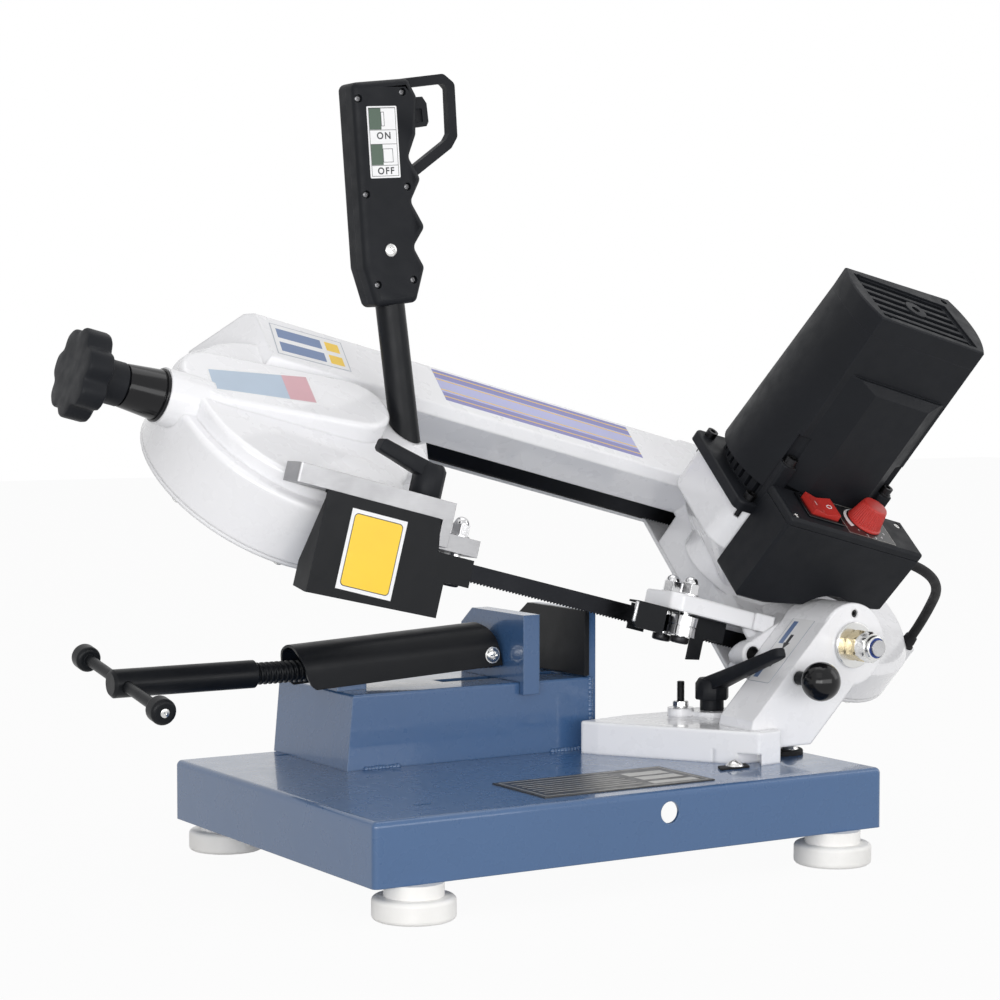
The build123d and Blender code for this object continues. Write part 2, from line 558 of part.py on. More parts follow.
def cover_screw_points():
    mid = (CAVITY_R + HOUSING_R) / 2
    left = [(mid * cos(radians(t)), mid * sin(radians(t))) for t in (100, 150, 210, 262)]
    right = [(SPACING + mid * cos(radians(t)), mid * sin(radians(t))) for t in (-80, -30, 30, 80)]
    return left + right


def gearbox_screw_points():
    mid = GEARBOX_R - 3.5
    points = [(SPACING + mid * cos(radians(t)), mid * sin(radians(t))) for t in (-55, 55)]
    return points + [(MOTOR_A - 20, -mid + 10), (MOTOR_A - 20, mid - 10)]


def rear_cover():
    face = Circle(HOUSING_R) + Pos(SPACING, 0) * Circle(HOUSING_R)
    for x0, x1, y0, y1 in ((0, SPAN_X0, -HOUSING_R, HOUSING_R), (0, 112, -18, HOUSING_R),
                           (0, SPACING, 92, SPINE_B), (SPAN_X1, SPACING, -HOUSING_R, SPINE_B)):
        face += Pos((x0 + x1) / 2, (y0 + y1) / 2) * Rectangle(x1 - x0, y1 - y0)
    plate = Pos(0, 0, RIM_C - COVER_T) * extrude(face, COVER_T, dir=(0, 0, 1))
    for x, y in cover_screw_points():
        plate -= rod(x, y, RIM_C - 9, RIM_C + 1, 2)
    return plate


def blade():
    """Closed loop: flat on the wheels, turned upright between the guides."""
    r0 = WHEEL_R - BLADE_T / 2
    r1 = WHEEL_R + BLADE_T / 2
    half = BLADE_W / 2
    left = ring(0, 0, -half, half, r1, r0) - block(0, 99, -99, 99, -99, 99)
    right = ring(SPACING, 0, -half, half, r1, r0) - block(SPACING - 99, SPACING, -99, 99, -99, 99)
    loop = left + right + block(0, SPACING, r0, r1, -half, half)
    front = FRONT_U - IDLER_U
    rear = REAR_U - IDLER_U
    section = Rectangle(BLADE_T, BLADE_W)

    def slice_at(x, turn):
        return Pos(x, -WHEEL_R, 0) * Rot(turn, 0, 0) * Rot(0, 90, 0) * Rot(0, 0, 90) * section

    lead_in = 12
    for x0, x1, t0, t1 in ((0, lead_in, 0, 0), (lead_in, front, 0, -TILT), (front, rear, -TILT, -TILT),
                           (rear, SPACING - lead_in, -TILT, 0), (SPACING - lead_in, SPACING, 0, 0)):
        pieces = 1 if t0 == t1 else 4
        stops = [(x0 + (x1 - x0) * i / pieces, t0 + (t1 - t0) * i / pieces) for i in range(pieces + 1)]
        loop += loft([slice_at(x, t) for x, t in stops], ruled=True)
    return loop


def wheel(hub_r, bore):
    """Spoked wheel with a flange behind the blade's back edge, around the local Z axis."""
    rim = WHEEL_R - BLADE_T / 2 - RUN
    half = RIM_W / 2
    body = ring(0, 0, -half, half, rim, rim - 9)
    body += ring(0, 0, BLADE_W / 2 + FREE, half + 1, FLANGE_R, rim - 9)
    body += rod(0, 0, -3, 3, rim - 4) + rod(0, 0, -half, half + 1, hub_r)
    middle = (hub_r + rim - 9) / 2
    for i in range(6):
        body -= Rot(0, 0, 60 * i) * rod(middle, 0, -9, 9, 13)
    return body - rod(0, 0, -19, 19, bore)


def drive_pieces():
    a = SPACING
    shaft = rod(0, 0, -10, DRIVE_TOP - 5.5, SHAFT_R + 1) + rod(0, 0, 0, GEARBOX_TOP - 9, SHAFT_R)
    shaft += rod(0, 0, 20, GEARBOX_TOP + 7, 5)
    shaft += gear(OUTPUT_Z, 32, 46, 3)
    shaft += hexagon(0, 0, -13, -10, 22)
    cluster = rod(0, 0, DRIVE_TOP + 5, TOWER_TOP - 5, CLUSTER_R)
    cluster += gear(PINION_Z, 31, 47, 2) + gear(GEAR_Z, TOWER_TOP - 24, TOWER_TOP - 14, 2, 180 / GEAR_Z)
    cluster += rod(0, 0, 47, TOWER_TOP - 24, 8)
    rotor = rod(0, 0, TOWER_TOP - 28, MOTOR_END - 5, ROTOR_R)
    rotor += gear(PINION_Z, TOWER_TOP - 28, TOWER_TOP - 12, 2)
    rotor += rod(0, 0, 152, 222, ARMATURE_R)
    at_drive = Pos(a, 0, 0)
    return {"drive_wheel": at_drive * wheel(20, SHAFT_R + 1), "drive_shaft": at_drive * shaft,
            "cluster_gear": Pos(CLUSTER_A, 0, 0) * cluster, "motor_rotor": Pos(MOTOR_A, 0, 0) * rotor,
            "bow_bearings": bearings()}


def bearings():
    a = SPACING
    group = ring(a, 0, DRIVE_TOP, DRIVE_TOP + 11, 17.5, SHAFT_R + RUN)
    group += ring(a, 0, GEARBOX_TOP, GEARBOX_TOP + 8, 13, 5 + RUN)
    group += ring(CLUSTER_A, 0, DRIVE_TOP + 4, DRIVE_TOP + 11, 11, CLUSTER_R + RUN)
    group += ring(CLUSTER_A, 0, TOWER_TOP - 11, TOWER_TOP - 4, 11, CLUSTER_R + RUN)
    group += ring(MOTOR_A, 0, TOWER_TOP, TOWER_TOP + 8, 14, ROTOR_R + RUN)
    group += ring(MOTOR_A, 0, MOTOR_END - 12, MOTOR_END - 4, 14, ROTOR_R + RUN)
    return group


def gearbox_cover():
    a = SPACING
    body = stadium(MOTOR_A, a, GEARBOX_R, GEARBOX_TOP, GEARBOX_TOP + 7)
    tower = soft_box(MOTOR_A - 70, CLUSTER_A + 36, -46, 46, GEARBOX_TOP, TOWER_TOP, 20, 2)
    body += tower + rod(a, 0, GEARBOX_TOP, GEARBOX_TOP + 13, 18)
    hollow = rod(CLUSTER_A, 0, GEARBOX_TOP - 1, TOWER_TOP - 11, 30) + rod(MOTOR_A, 0, GEARBOX_TOP - 1,
                                                                        TOWER_TOP - 11, 30)
    hollow += block(MOTOR_A, CLUSTER_A, -30, 30, GEARBOX_TOP - 1, TOWER_TOP - 11)
    body -= hollow
    body -= rod(CLUSTER_A, 0, TOWER_TOP - 12, TOWER_TOP - 4, 11)
    body -= rod(MOTOR_A, 0, TOWER_TOP - 20, TOWER_TOP + 1, ROTOR_R + 6)
    body -= rod(a, 0, GEARBOX_TOP - 1, GEARBOX_TOP + 8, 13)
    for x, y in gearbox_screw_points():
        body -= rod(x, y, GEARBOX_TOP - 1, GEARBOX_TOP + 9, 2.5)
        body -= rod(x, y, GEARBOX_TOP + 7, TOWER_TOP - 20, 6)
    for x, y in motor_screw_points():
        body -= rod(x, y, TOWER_TOP - 9, TOWER_TOP + 1, 2.5)
    return body


def motor_screw_points():
    return [(MOTOR_A - 63, -39), (MOTOR_A - 63, 39)]


def ear_points():
    return [(MOTOR_A - 51, -41), (MOTOR_A + 43, -41)]


def motor_outline(flare):
    """Flat front, slanted back, bulged ends; the flare widens the far end and the back."""
    half = MOTOR_L / 2
    width = MOTOR_W / 2
    back = width + flare / 2
    low = (MOTOR_A - half, -width)
    high = (MOTOR_A - half - flare / 2, back - BACK_SLANT)
    left = ThreePointArc(high, (MOTOR_A - half - MOTOR_BULGE - flare, 0), low)
    right = ThreePointArc((MOTOR_A + half - FRONT_CUT, -width), (MOTOR_A + half + MOTOR_BULGE - 2, 0),
                          (MOTOR_A + half, back))
    return make_face(left + Line(low, right @ 0) + right + Line(right @ 1, high))


def motor_pieces():
    flange = soft_box(MOTOR_A - 74, MOTOR_A + 56, -46, 46, TOWER_TOP, MOTOR_BASE, 6, 2)
    flange -= rod(MOTOR_A, 0, TOWER_TOP - 1, MOTOR_BASE + 1, 14)
    screws = Part()
    for x, y in motor_screw_points():
        flange -= rod(x, y, TOWER_TOP - 1, MOTOR_BASE + 1, 2.5)
        screws += cap_screw(x, y, MOTOR_BASE, FLANGE_T + 8, 2.5)
    for x, y in gearbox_screw_points():
        screws += cap_screw(x, y, GEARBOX_TOP + 7, 18, 2.5)

    foot = motor_outline(MOTOR_FLARE)
    head = motor_outline(0)
    width = MOTOR_W / 2
    housing = loft([Pos(0, 0, MOTOR_LIP) * foot, Pos(0, 0, MOTOR_END) * head], ruled=True)
    housing += Pos(0, 0, MOTOR_BASE) * extrude(head, MOTOR_LIP - MOTOR_BASE + 1, dir=(0, 0, 1))
    left = MOTOR_A - MOTOR_L / 2 - MOTOR_BULGE
    for i in range(8):
        y = (i - 3.5) * 9
        housing -= block(left - 9, left + 10, y - 1.8, y + 1.8, MOTOR_BASE + 1, MOTOR_LIP)

    # Raised panel on the near side, screw ears at its foot
    x0 = MOTOR_A - MOTOR_L / 2 + 4
    x1 = MOTOR_A + MOTOR_L / 2 - FRONT_CUT - 1
    panel = prism([(x0, 1 - width), (x0 + 25, -width - PANEL_OUT), (x1 - 18, -width - PANEL_OUT), (x1, 1 - width)],
                  BOX_TOP + NEAR, MOTOR_BASE + PANEL_H)
    housing += chamfer(panel.edges().group_by(Axis.Z)[-1].sort_by(Axis.Y)[0], 6)
    for x, y in ear_points():
        ear_top = MOTOR_BASE + EAR_H
        housing += soft_box(x - 6.2, x + 6.2, -45.5, 1 - width, MOTOR_BASE, ear_top, 2, 1)
        housing -= rod(x, y, MOTOR_BASE - 1, ear_top + 20, 2.5)
        housing -= rod(x, y, ear_top, ear_top + 24, 6.5)
        flange -= rod(x, y, TOWER_TOP - 1, MOTOR_BASE + 1, 2.5)
        screws += cap_screw(x, y, ear_top + 1, EAR_H + 7, 2.5)
        screws += ring(x, y, ear_top, ear_top + 1, 5.4, 2)
    housing -= rod(MOTOR_A, 0, MOTOR_BASE - 1, MOTOR_END - 12, STATOR_R)
    housing -= rod(MOTOR_A, 0, MOTOR_END - 13, MOTOR_END - 4, 14)
    stator = ring(MOTOR_A, 0, 155, 219, STATOR_R, ARMATURE_R + AIR_GAP)

    top = MOTOR_END + CAP_T
    cap = Pos(0, 0, MOTOR_END) * extrude(head, CAP_T, dir=(0, 0, 1))
    cap = chamfer(cap.edges().group_by(Axis.Z)[-1], 1)
    reach = MOTOR_L / 2 - 4
    cap -= block(MOTOR_A - reach, MOTOR_A + reach - FRONT_CUT, -width + 5, width - 15, top - 2, top + 1)
    for i in range(6):
        y = (i - 2.9) * 9.4
        cap -= block(MOTOR_A - reach + 4, MOTOR_A + reach - FRONT_CUT - 3, y - 2.9, y + 2.9, top - 8, top + 1)
    cap += rod(MOTOR_A, 0, MOTOR_END + 2, top - 1, 9)
    cap -= rod(MOTOR_A, 0, top - 9, top + 1, 3.5)
    for x, y in ((5 - reach, 7 - width), (reach - 16, 7 - width), (6 - reach, width - 17), (reach - 5, width - 8)):
        cap -= rod(MOTOR_A + x, y, top - 9, top + 1, 3)
    return {"motor_flange": flange, "socket_screws": screws, "motor_housing": housing, "stator": stator,
            "motor_cap": cap}


def tension_pieces():
    mouth = SEAT_A - SLEEVE_L
    sleeve = Pos(SEAT_A - SLEEVE_L / 2, 0, TENSION_C) * Rot(0, 90, 0) * Cone(SLEEVE_R - 2.5, SLEEVE_R, SLEEVE_L)
    sleeve += rod_x(SEAT_A - 2, SEAT_A, 0, TENSION_C, SLEEVE_R + 1)
    sleeve -= rod_x(mouth - 1, mouth + 12, 0, TENSION_C, NECK_R + FREE)
    sleeve -= rod_x(mouth - 2, SEAT_A + 9, 0, TENSION_C, TENSION_R + FREE)

    # Star knob with seven lobes, hub, neck and screw
    head = Circle(KNOB_R)
    for i in range(7):
        head -= Rot(0, 0, 360 * i / 7) * Pos(KNOB_R + 4.5, 0) * Circle(8)
    head = fillet(head.vertices(), 3)
    back = mouth - FREE - KNOB_HUB_L
    star = extrude(head, KNOB_T)
    star = fillet(star.edges().group_by(Axis.Z)[0], 2)
    knob = Pos(back - KNOB_T, 0, TENSION_C) * Rot(0, 90, 0) * star
    knob += rod_x(back - 1, mouth - FREE, 0, TENSION_C, KNOB_HUB_R)
    knob += rod_x(mouth - 1, mouth + 11, 0, TENSION_C, NECK_R)
    screw = rod_x(mouth + 10, -5, 0, TENSION_C, TENSION_R)

    slide = block(-30, 32, -20 + SLIDE, 20 - SLIDE, 20 + SLIDE, IDLER_TOP - 5 - SLIDE)
    slide += block(-30, 32, -13 + SLIDE, 13 - SLIDE, 12, 22)
    slide += rod(0, 0, -11, 13, AXLE_R) + rod(0, 0, -13.5, -11, AXLE_R + 3)
    slide -= rod_x(-31, 12, 0, TENSION_C, TENSION_R + RUN)
    race = ring(0, 0, -RIM_W / 2, RIM_W / 2 + 1, 17.5, AXLE_R + RUN)
    return {"tension_sleeve": sleeve, "tension_knob": knob + screw, "tension_slide": slide,
            "idler_wheel": wheel(23, 17.5), "idler_bearings": race}


def roller(u, side):
    y = BLADE_Y + side * ROLLER_OFF
    mid = -BLADE_DROP
    body = ring(u, y, mid - ROLLER_W / 2, mid + ROLLER_W / 2, ROLLER_R, ROLLER_PIN_R + RUN)
    return body - ring(u, y, mid - 0.5, mid + 0.5, ROLLER_R + 1, ROLLER_R - 1)


def roller_pins(u, plate_top):
    """Two pins hanging through a guide plate, with acorn nuts on top."""
    group = Part()
    low = -BLADE_DROP - ROLLER_W / 2
    for side in (-1, 1):
        y = BLADE_Y + side * ROLLER_OFF
        group += rod(u, y, low - 1, plate_top, ROLLER_PIN_R)
        group += hexagon(u, y, low - 4.5, low - FREE, 11) + acorn_nut(u, y, plate_top, 12)
    return group


def guide_pieces():
    """Both blade guides, in the side frame."""
    bar = block(BAR_U0, LEG_U, BAR_Y0, BAR_Y1, BAR_BOTTOM, BAR_TOP)
    bar = fillet(bar.edges().filter_by(Axis.Z).group_by(Axis.X)[0], 2)
    bar += block(LEG_U - 8, LEG_U, BAR_Y0, BAR_Y1, GUIDE_LOW, BAR_TOP)
    plate_top = GUIDE_LOW + FRONT_T
    bar += block(LEG_U - 8, LEG_U, BAR_Y0, -2, GUIDE_LOW, plate_top)
    bar += block(LEG_U - 1, FRONT_U + 11, -37, 4, GUIDE_LOW, plate_top)
    bar -= block(CLAMP_U - 65, CLAMP_U + 5, CLAMP_Y - CLAMP_R - FREE, CLAMP_Y + CLAMP_R + FREE,
                 BAR_BOTTOM - 1, BAR_TOP + 1)
    for side in (-1, 1):
        y = BLADE_Y + side * ROLLER_OFF
        bar -= rod(FRONT_U, y, GUIDE_LOW - 1, plate_top + 1, ROLLER_PIN_R)

    front = side_prism([(-442, BAR_BOTTOM), (-354, BAR_BOTTOM), (-350, -8), (-321, -8), (-321, -27),
                        (-341, -27), (-341, -52), (-442, -55)], BAR_Y0 - 2, BAR_Y0)
    lip = block(-440, -355, BAR_Y0, -56, BAR_BOTTOM - 2, BAR_BOTTOM)
    wing = end_prism([(BAR_Y0, -55), (BAR_Y0, BAR_BOTTOM - 6), (-44, -35), (-44, -52)], -442, -440)

    hub = rod(CLAMP_U, CLAMP_Y, BAR_TOP + SLIDE, BAR_TOP + 23, 10.5)
    hub = fillet(hub.edges().group_by(Axis.Z)[-1], 2)
    arm = Pos(CLAMP_U, CLAMP_Y, BAR_TOP + 17) * Rot(0, -77, 0) * loft(
        [RectangleRounded(11, 13, 3), Pos(0, 0, 44) * RectangleRounded(8, 10, 3)])
    lever = hub + arm + rod(CLAMP_U, CLAMP_Y, -5, BAR_TOP + 2, CLAMP_R)

    table = prism([(REAR_U - 18, -29), (REAR_U - 11, -36), (WALL_U, -36), (WALL_U, 10), (REAR_U - 11, 10),
                   (REAR_U - 18, 3)], GUIDE_LOW, GUIDE_LOW + REAR_T, 3)
    table = fillet(table.edges().group_by(Axis.Z)[-1], 2)
    for side in (-1, 1):
        table -= rod(REAR_U, BLADE_Y + side * ROLLER_OFF, GUIDE_LOW - 1, GUIDE_LOW + REAR_T + 1, ROLLER_PIN_R)
    u0 = REAR_U - 35
    u1 = REAR_U - 12
    guard = block(u0, u1, -36.5, -35, -23.5, GUIDE_LOW) + block(u0, u1, 4.5, 6, -23.5, GUIDE_LOW)
    guard += block(u0, u1, -35, 6, GUIDE_LOW - 1.5, GUIDE_LOW)
    u0 = REAR_U + 12
    skirt = side_prism([(u0, GUIDE_LOW), (u0 + 30, GUIDE_LOW), (u0 + 30, -19), (u0 + 12, -19), (u0 + 12, -35),
                        (u0, -37)], -22.5, -21)
    skirt += block(u0, u0 + 12, -21, 6, GUIDE_LOW - 1.5, GUIDE_LOW)
    return {"guide_bar": bar, "guide_guard": front + lip + wing, "guide_lever": lever,
            "front_pins": roller_pins(FRONT_U, GUIDE_LOW + FRONT_T), "rear_guide_arm": table,
            "rear_guide_guard": guard + skirt, "guide_nuts": roller_pins(REAR_U, GUIDE_LOW + REAR_T),
            "front_roller_a": roller(FRONT_U, -1), "front_roller_b": roller(FRONT_U, 1),
            "rear_roller_a": roller(REAR_U, -1), "rear_roller_b": roller(REAR_U, 1)}


def control_pieces():
    """Control box in the wheel frame, hollowed over the pivot boss."""
    shape = [(BOX_A0, BOX_TOP), (BOX_A1, BOX_TOP), (BOX_A1 - 3, 64), (BOX_A0 + 26, 44), (BOX_A0 - 2, 44)]
    box = side_prism(shape, BOX_B0, -46, 3)
    box = chamfer(box.edges().group_by(Axis.Y)[0], 2)
    to_wheels = WHEELS.inverse() * SIDE
    box -= to_wheels * rod_y(0, -140, 20, 0, BOSS_R + 3)
    inner = side_prism([(BOX_A0 + 5, BOX_TOP - 4), (BOX_A1 - 5, BOX_TOP - 4), (BOX_A1 - 5, 100),
                        (BOX_A0 + 5, 80)], BOX_B0 + 4, -50)
    box -= inner
    r_l = ROCKER_L / 2
    r_w = ROCKER_W / 2
    box -= block(ROCKER_A - r_l, ROCKER_A + r_l, SWITCH_B - r_w, SWITCH_B + r_w, BOX_TOP - 8, BOX_TOP + 1)
    box -= rod(KNOB_A, SWITCH_B, BOX_TOP - 9, BOX_TOP + 1, 3 + RUN)
    wings = side_prism([(-r_l + 1, -3), (r_l - 1, -3), (r_l - 1.5, 6), (0, 3.5), (-r_l + 1.5, 6)],
                       -r_w + FREE, r_w - FREE)
    rocker = Pos(ROCKER_A, SWITCH_B, BOX_TOP) * wings
    rocker += rod_y(ROCKER_A, SWITCH_B - r_w - 2, SWITCH_B + r_w + 2, BOX_TOP - 2.2, ROCKER_PIN_R)
    box -= rod_y(ROCKER_A, SWITCH_B - r_w - 2.5, SWITCH_B + r_w + 2.5, BOX_TOP - 2.2, ROCKER_PIN_R + RUN)
    knob = Pos(KNOB_A, SWITCH_B, BOX_TOP + FREE + 8.5) * Cone(13.5, 9.5, 17)
    knob = fillet(knob.edges().group_by(Axis.Z)[-1], 1.5)
    knob += rod(KNOB_A, SWITCH_B, BOX_TOP - 4, BOX_TOP + 2, 3)

    start = (BOX_A1 - 1, SWITCH_B, BOX_TOP - 22)
    gland_a = SPACING + (HOUSING_R + LEAD_R + 2) * cos(radians(LEAD_AT))
    gland_b = -(HOUSING_R + LEAD_R + 2) * sin(radians(LEAD_AT))
    path = FilletPolyline(start, (BOX_A1 + 52, SWITCH_B, BOX_TOP - 22), (gland_a, gland_b, 30),
                          (gland_a, gland_b, 4), radius=16)
    lead = sweep(Plane(origin=start, z_dir=(1, 0, 0)) * Circle(LEAD_R), path=path)
    lead += rod_x(BOX_A1, BOX_A1 + 10, start[1], start[2], LEAD_R + 2) + rod(gland_a, gland_b, 4, 14, LEAD_R + 2)
    box -= rod_x(BOX_A1 - 9, BOX_A1 + 1, start[1], start[2], LEAD_R)
    return {"control_box": box, "rocker": rocker, "speed_knob": knob, "lead": lead}


def handle_pieces():
    """Handle in its own frame: X towards the fingers, Z up along the tube."""
    tube = rod(0, 0, -24, 150, TUBE_R) - rod(0, 0, -25, 151, TUBE_BORE)
    half = GRIP_T / 2
    profile = make_face(Polyline((35, 250), (31, 223), (23, 208), (31, 192), (21, 177), (30, 158), (19, 145),
                                 (26, 130), (16, 106), (-17, 106), (-23, 135), (-16, 263), (29, 263),
                                 close=True))
    profile = fillet(profile.vertices(), 5)
    hoop = fillet(make_face(Polyline((18, 263), (63, 264.5), (71.5, 257), (69, 219), (63, 211.5), (22, 189),
                                     close=True)).vertices(), 5)
    hoop -= fillet(make_face(Polyline((10, 256), (62, 257.5), (65, 254), (62.5, 222), (59, 217.5), (22, 197),
                                      close=True)).vertices(), 2)

    def slab(face, y0, y1):
        return Pos(0, y1, 0) * Rot(90, 0, 0) * extrude(face, y1 - y0, dir=(0, 0, 1))

    whole = slab(profile, -half, half)
    whole = fillet(whole.edges().group_by(Axis.Y)[0] + whole.edges().group_by(Axis.Y)[-1], 5)
    whole += slab(hoop, -HOOP_T / 2, HOOP_T / 2)
    wide = TRIGGER_T / 2 + NEAR
    pocket = block(6, 46, -wide, wide, TRIGGER_S0 - NEAR, TRIGGER_S1 + NEAR)
    whole -= rod(0, 0, 100, 151, TUBE_R) + pocket
    left = whole & block(-90, 90, -90, 0, 0, 400)
    right = whole & block(-90, 90, 0, 90, 0, 400)
    trigger = side_prism([(14, TRIGGER_S0), (43, TRIGGER_S0), (45, TRIGGER_S0 + 3), (45, TRIGGER_S1 - 5),
                          (42, TRIGGER_S1), (14, TRIGGER_S1)], -TRIGGER_T / 2, TRIGGER_T / 2)
    return {"handle_tube": tube, "handle_shell_left": left, "handle_shell_right": right, "trigger": trigger}


def pivot_pieces():
    shaft = rod_y(PIVOT_X, BOSS_Y0, BOSS_Y1 + 18, PIVOT_Z, PIVOT_R)
    shaft += rod_y(PIVOT_X, BOSS_Y0 - 30, BOSS_Y0 + 1, PIVOT_Z, STUB_R)
    washer = rod(0, 0, NEAR, NEAR + 3, WASHER_R)
    nuts = washer + hexagon(0, 0, NEAR + 3, 14, NUT_FLATS) + hexagon(0, 0, 14, 25, NUT_FLATS)
    nuts += rod(0, 0, 25, 28, 0.42 * NUT_FLATS)
    nuts -= rod(0, 0, -1, 40, STUB_R)
    nuts = Pos(PIVOT_X, BOSS_Y0, PIVOT_Z) * Rot(90, 0, 0) * nuts
    coil = Helix(pitch=5, height=20, radius=PIVOT_R + WIRE_R + NEAR)
    wire = sweep(Plane(origin=coil @ 0, z_dir=coil % 0) * Circle(WIRE_R), path=coil)
    spring = Pos(PIVOT_X, BOSS_Y1 - 3, PIVOT_Z) * Rot(90, 0, 0) * wire
    return {"pivot_shaft": shaft, "pivot_nuts": nuts, "return_spring": spring}


def pan_screws():
    group = Part()
    for x, y in cover_screw_points():
        group += Pos(x, y, RIM_C - COVER_T) * Rot(180, 0, 0) * pan_screw(0, 0, 0, 10, 2)
    return group


def placed(frame, pieces):
    return {name: frame * body for name, body in pieces.items()}


nodes = {}
nodes.update(base_pieces())
nodes.update(vise_pieces())
nodes.update(swivel_pieces())
nodes.update(pivot_pieces())
nodes.update(placed(WHEELS, {"bow_casting": bow_casting(), "rear_cover": rear_cover(), "blade": blade(),
                             "gearbox_cover": gearbox_cover(), "pan_screws": pan_screws()}))
nodes.update(placed(WHEELS, drive_pieces()))
nodes.update(placed(WHEELS, motor_pieces()))
nodes.update(placed(WHEELS, tension_pieces()))
nodes.update(placed(WHEELS, control_pieces()))
nodes.update(placed(SIDE, guide_pieces()))
nodes.update(placed(HANDLE, handle_pieces()))

os.makedirs("parts", exist_ok=True)
for name, body in nodes.items():
    export_step(body, f"parts/{name}.step")
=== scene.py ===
import json
import math

import bmesh
import bpy
from mathutils import Matrix, Vector


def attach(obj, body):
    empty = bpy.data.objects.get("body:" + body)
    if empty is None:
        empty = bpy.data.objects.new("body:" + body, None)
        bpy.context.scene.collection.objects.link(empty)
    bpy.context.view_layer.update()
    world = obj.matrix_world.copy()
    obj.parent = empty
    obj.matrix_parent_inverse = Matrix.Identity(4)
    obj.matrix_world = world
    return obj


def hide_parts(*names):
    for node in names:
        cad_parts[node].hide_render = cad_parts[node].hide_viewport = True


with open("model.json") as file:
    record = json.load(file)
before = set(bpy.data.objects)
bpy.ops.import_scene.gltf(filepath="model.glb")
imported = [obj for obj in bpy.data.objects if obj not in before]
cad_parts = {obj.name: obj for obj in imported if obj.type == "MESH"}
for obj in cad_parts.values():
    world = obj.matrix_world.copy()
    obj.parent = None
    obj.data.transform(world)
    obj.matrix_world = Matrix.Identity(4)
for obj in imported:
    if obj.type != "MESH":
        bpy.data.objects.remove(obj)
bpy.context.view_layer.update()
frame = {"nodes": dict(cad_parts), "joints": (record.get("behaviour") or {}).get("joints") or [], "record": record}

NODES = frame["nodes"]
JOINTS = {joint["name"]: joint for joint in frame["joints"]}

# Camera of the photograph, in metres
CAMERA_AT = (-0.96201, -1.51526, 0.35133)
CAMERA_RIGHT = (0.8496, -0.5274, 0.0)
CAMERA_UP = (0.0275, 0.0443, 0.9987)
CAMERA_BACK = (-0.5267, -0.8485, 0.0521)
LENS_MM = 90.0
SENSOR_MM = 36.0


def joint_at(name):
    return Vector(JOINTS[name]["pos_m"])


def joint_axis(name):
    return Vector(JOINTS[name]["axis"]).normalized()


def local_frame(origin, x_dir, y_dir, z_dir):
    """Matrix from millimetres along three directions to metres in the shared frame."""
    turn = Matrix((x_dir, y_dir, z_dir)).transposed().to_4x4()
    return Matrix.Translation(origin) @ turn @ Matrix.Scale(0.001, 4)


# Local frames: the ground, the bow seen from the side, its tilted wheels, and the handle
X_AXIS = Vector((1, 0, 0))
Y_AXIS = Vector((0, 1, 0))
Z_AXIS = Vector((0, 0, 1))
U_AXIS = joint_axis("tension_knob_turn")
W_AXIS = U_AXIS.cross(Y_AXIS)
N_AXIS = joint_axis("drive_spin")
V_AXIS = N_AXIS.cross(U_AXIS)
Q_AXIS = -joint_axis("trigger_pull")
S_AXIS = Q_AXIS.cross(Y_AXIS)
GROUND = local_frame(Vector(), X_AXIS, Y_AXIS, Z_AXIS)
SIDE = local_frame(joint_at("bow_pivot"), U_AXIS, Y_AXIS, W_AXIS)
WHEELS = local_frame(joint_at("idler_spin"), U_AXIS, V_AXIS, N_AXIS)
HANDLE = local_frame(SIDE @ Vector((-334.0, 37.0, 61.7)), Q_AXIS, Y_AXIS, S_AXIS)


# Shader building blocks

def shader(name, color, roughness, metallic=0.0, coat=0.0, coat_roughness=0.1, specular=0.5):
    material = bpy.data.materials.new(name)
    material.use_nodes = True
    material.diffuse_color = (*color, 1.0)
    bsdf = material.node_tree.nodes["Principled BSDF"]
    bsdf.inputs["Base Color"].default_value = (*color, 1.0)
    bsdf.inputs["Roughness"].default_value = roughness
    bsdf.inputs["Metallic"].default_value = metallic
    bsdf.inputs["Coat Weight"].default_value = coat
    bsdf.inputs["Coat Roughness"].default_value = coat_roughness
    bsdf.inputs["Specular IOR Level"].default_value = specular
    return material


def node_of(material, kind, **values):
    node = material.node_tree.nodes.new(kind)
    for key, value in values.items():
        if key in node.inputs:
            node.inputs[key].default_value = value
        else:
            setattr(node, key, value)
    return node


def link(material, source, output, target, socket):
    material.node_tree.links.new(source.outputs[output], target.inputs[socket])


def noise(material, scale, detail, stretch=(1, 1, 1), turn=(0, 0, 0)):
    """Noise in object space, with a stretch for brushed or drawn surfaces."""
    where = node_of(material, "ShaderNodeTexCoord")
    place = node_of(material, "ShaderNodeMapping")
    place.inputs["Scale"].default_value = stretch
    place.inputs["Rotation"].default_value = turn
    texture = node_of(material, "ShaderNodeTexNoise", Scale=scale, Detail=detail)
    link(material, where, "Object", place, "Vector")
    link(material, place, "Vector", texture, "Vector")
    return texture


def ramp(material, source, output, stops):
    node = node_of(material, "ShaderNodeValToRGB")
    link(material, source, output, node, "Fac")
    elements = node.color_ramp.elements
    while len(elements) < len(stops):
        elements.new(0.5)
    for element, (position, color) in zip(elements, stops):
        element.position = position
        element.color = (*color, 1.0)
    return node


def grey(value):
    return (value, value, value)


def tinted(color, factor):
    return tuple(min(1.0, channel * factor) for channel in color)


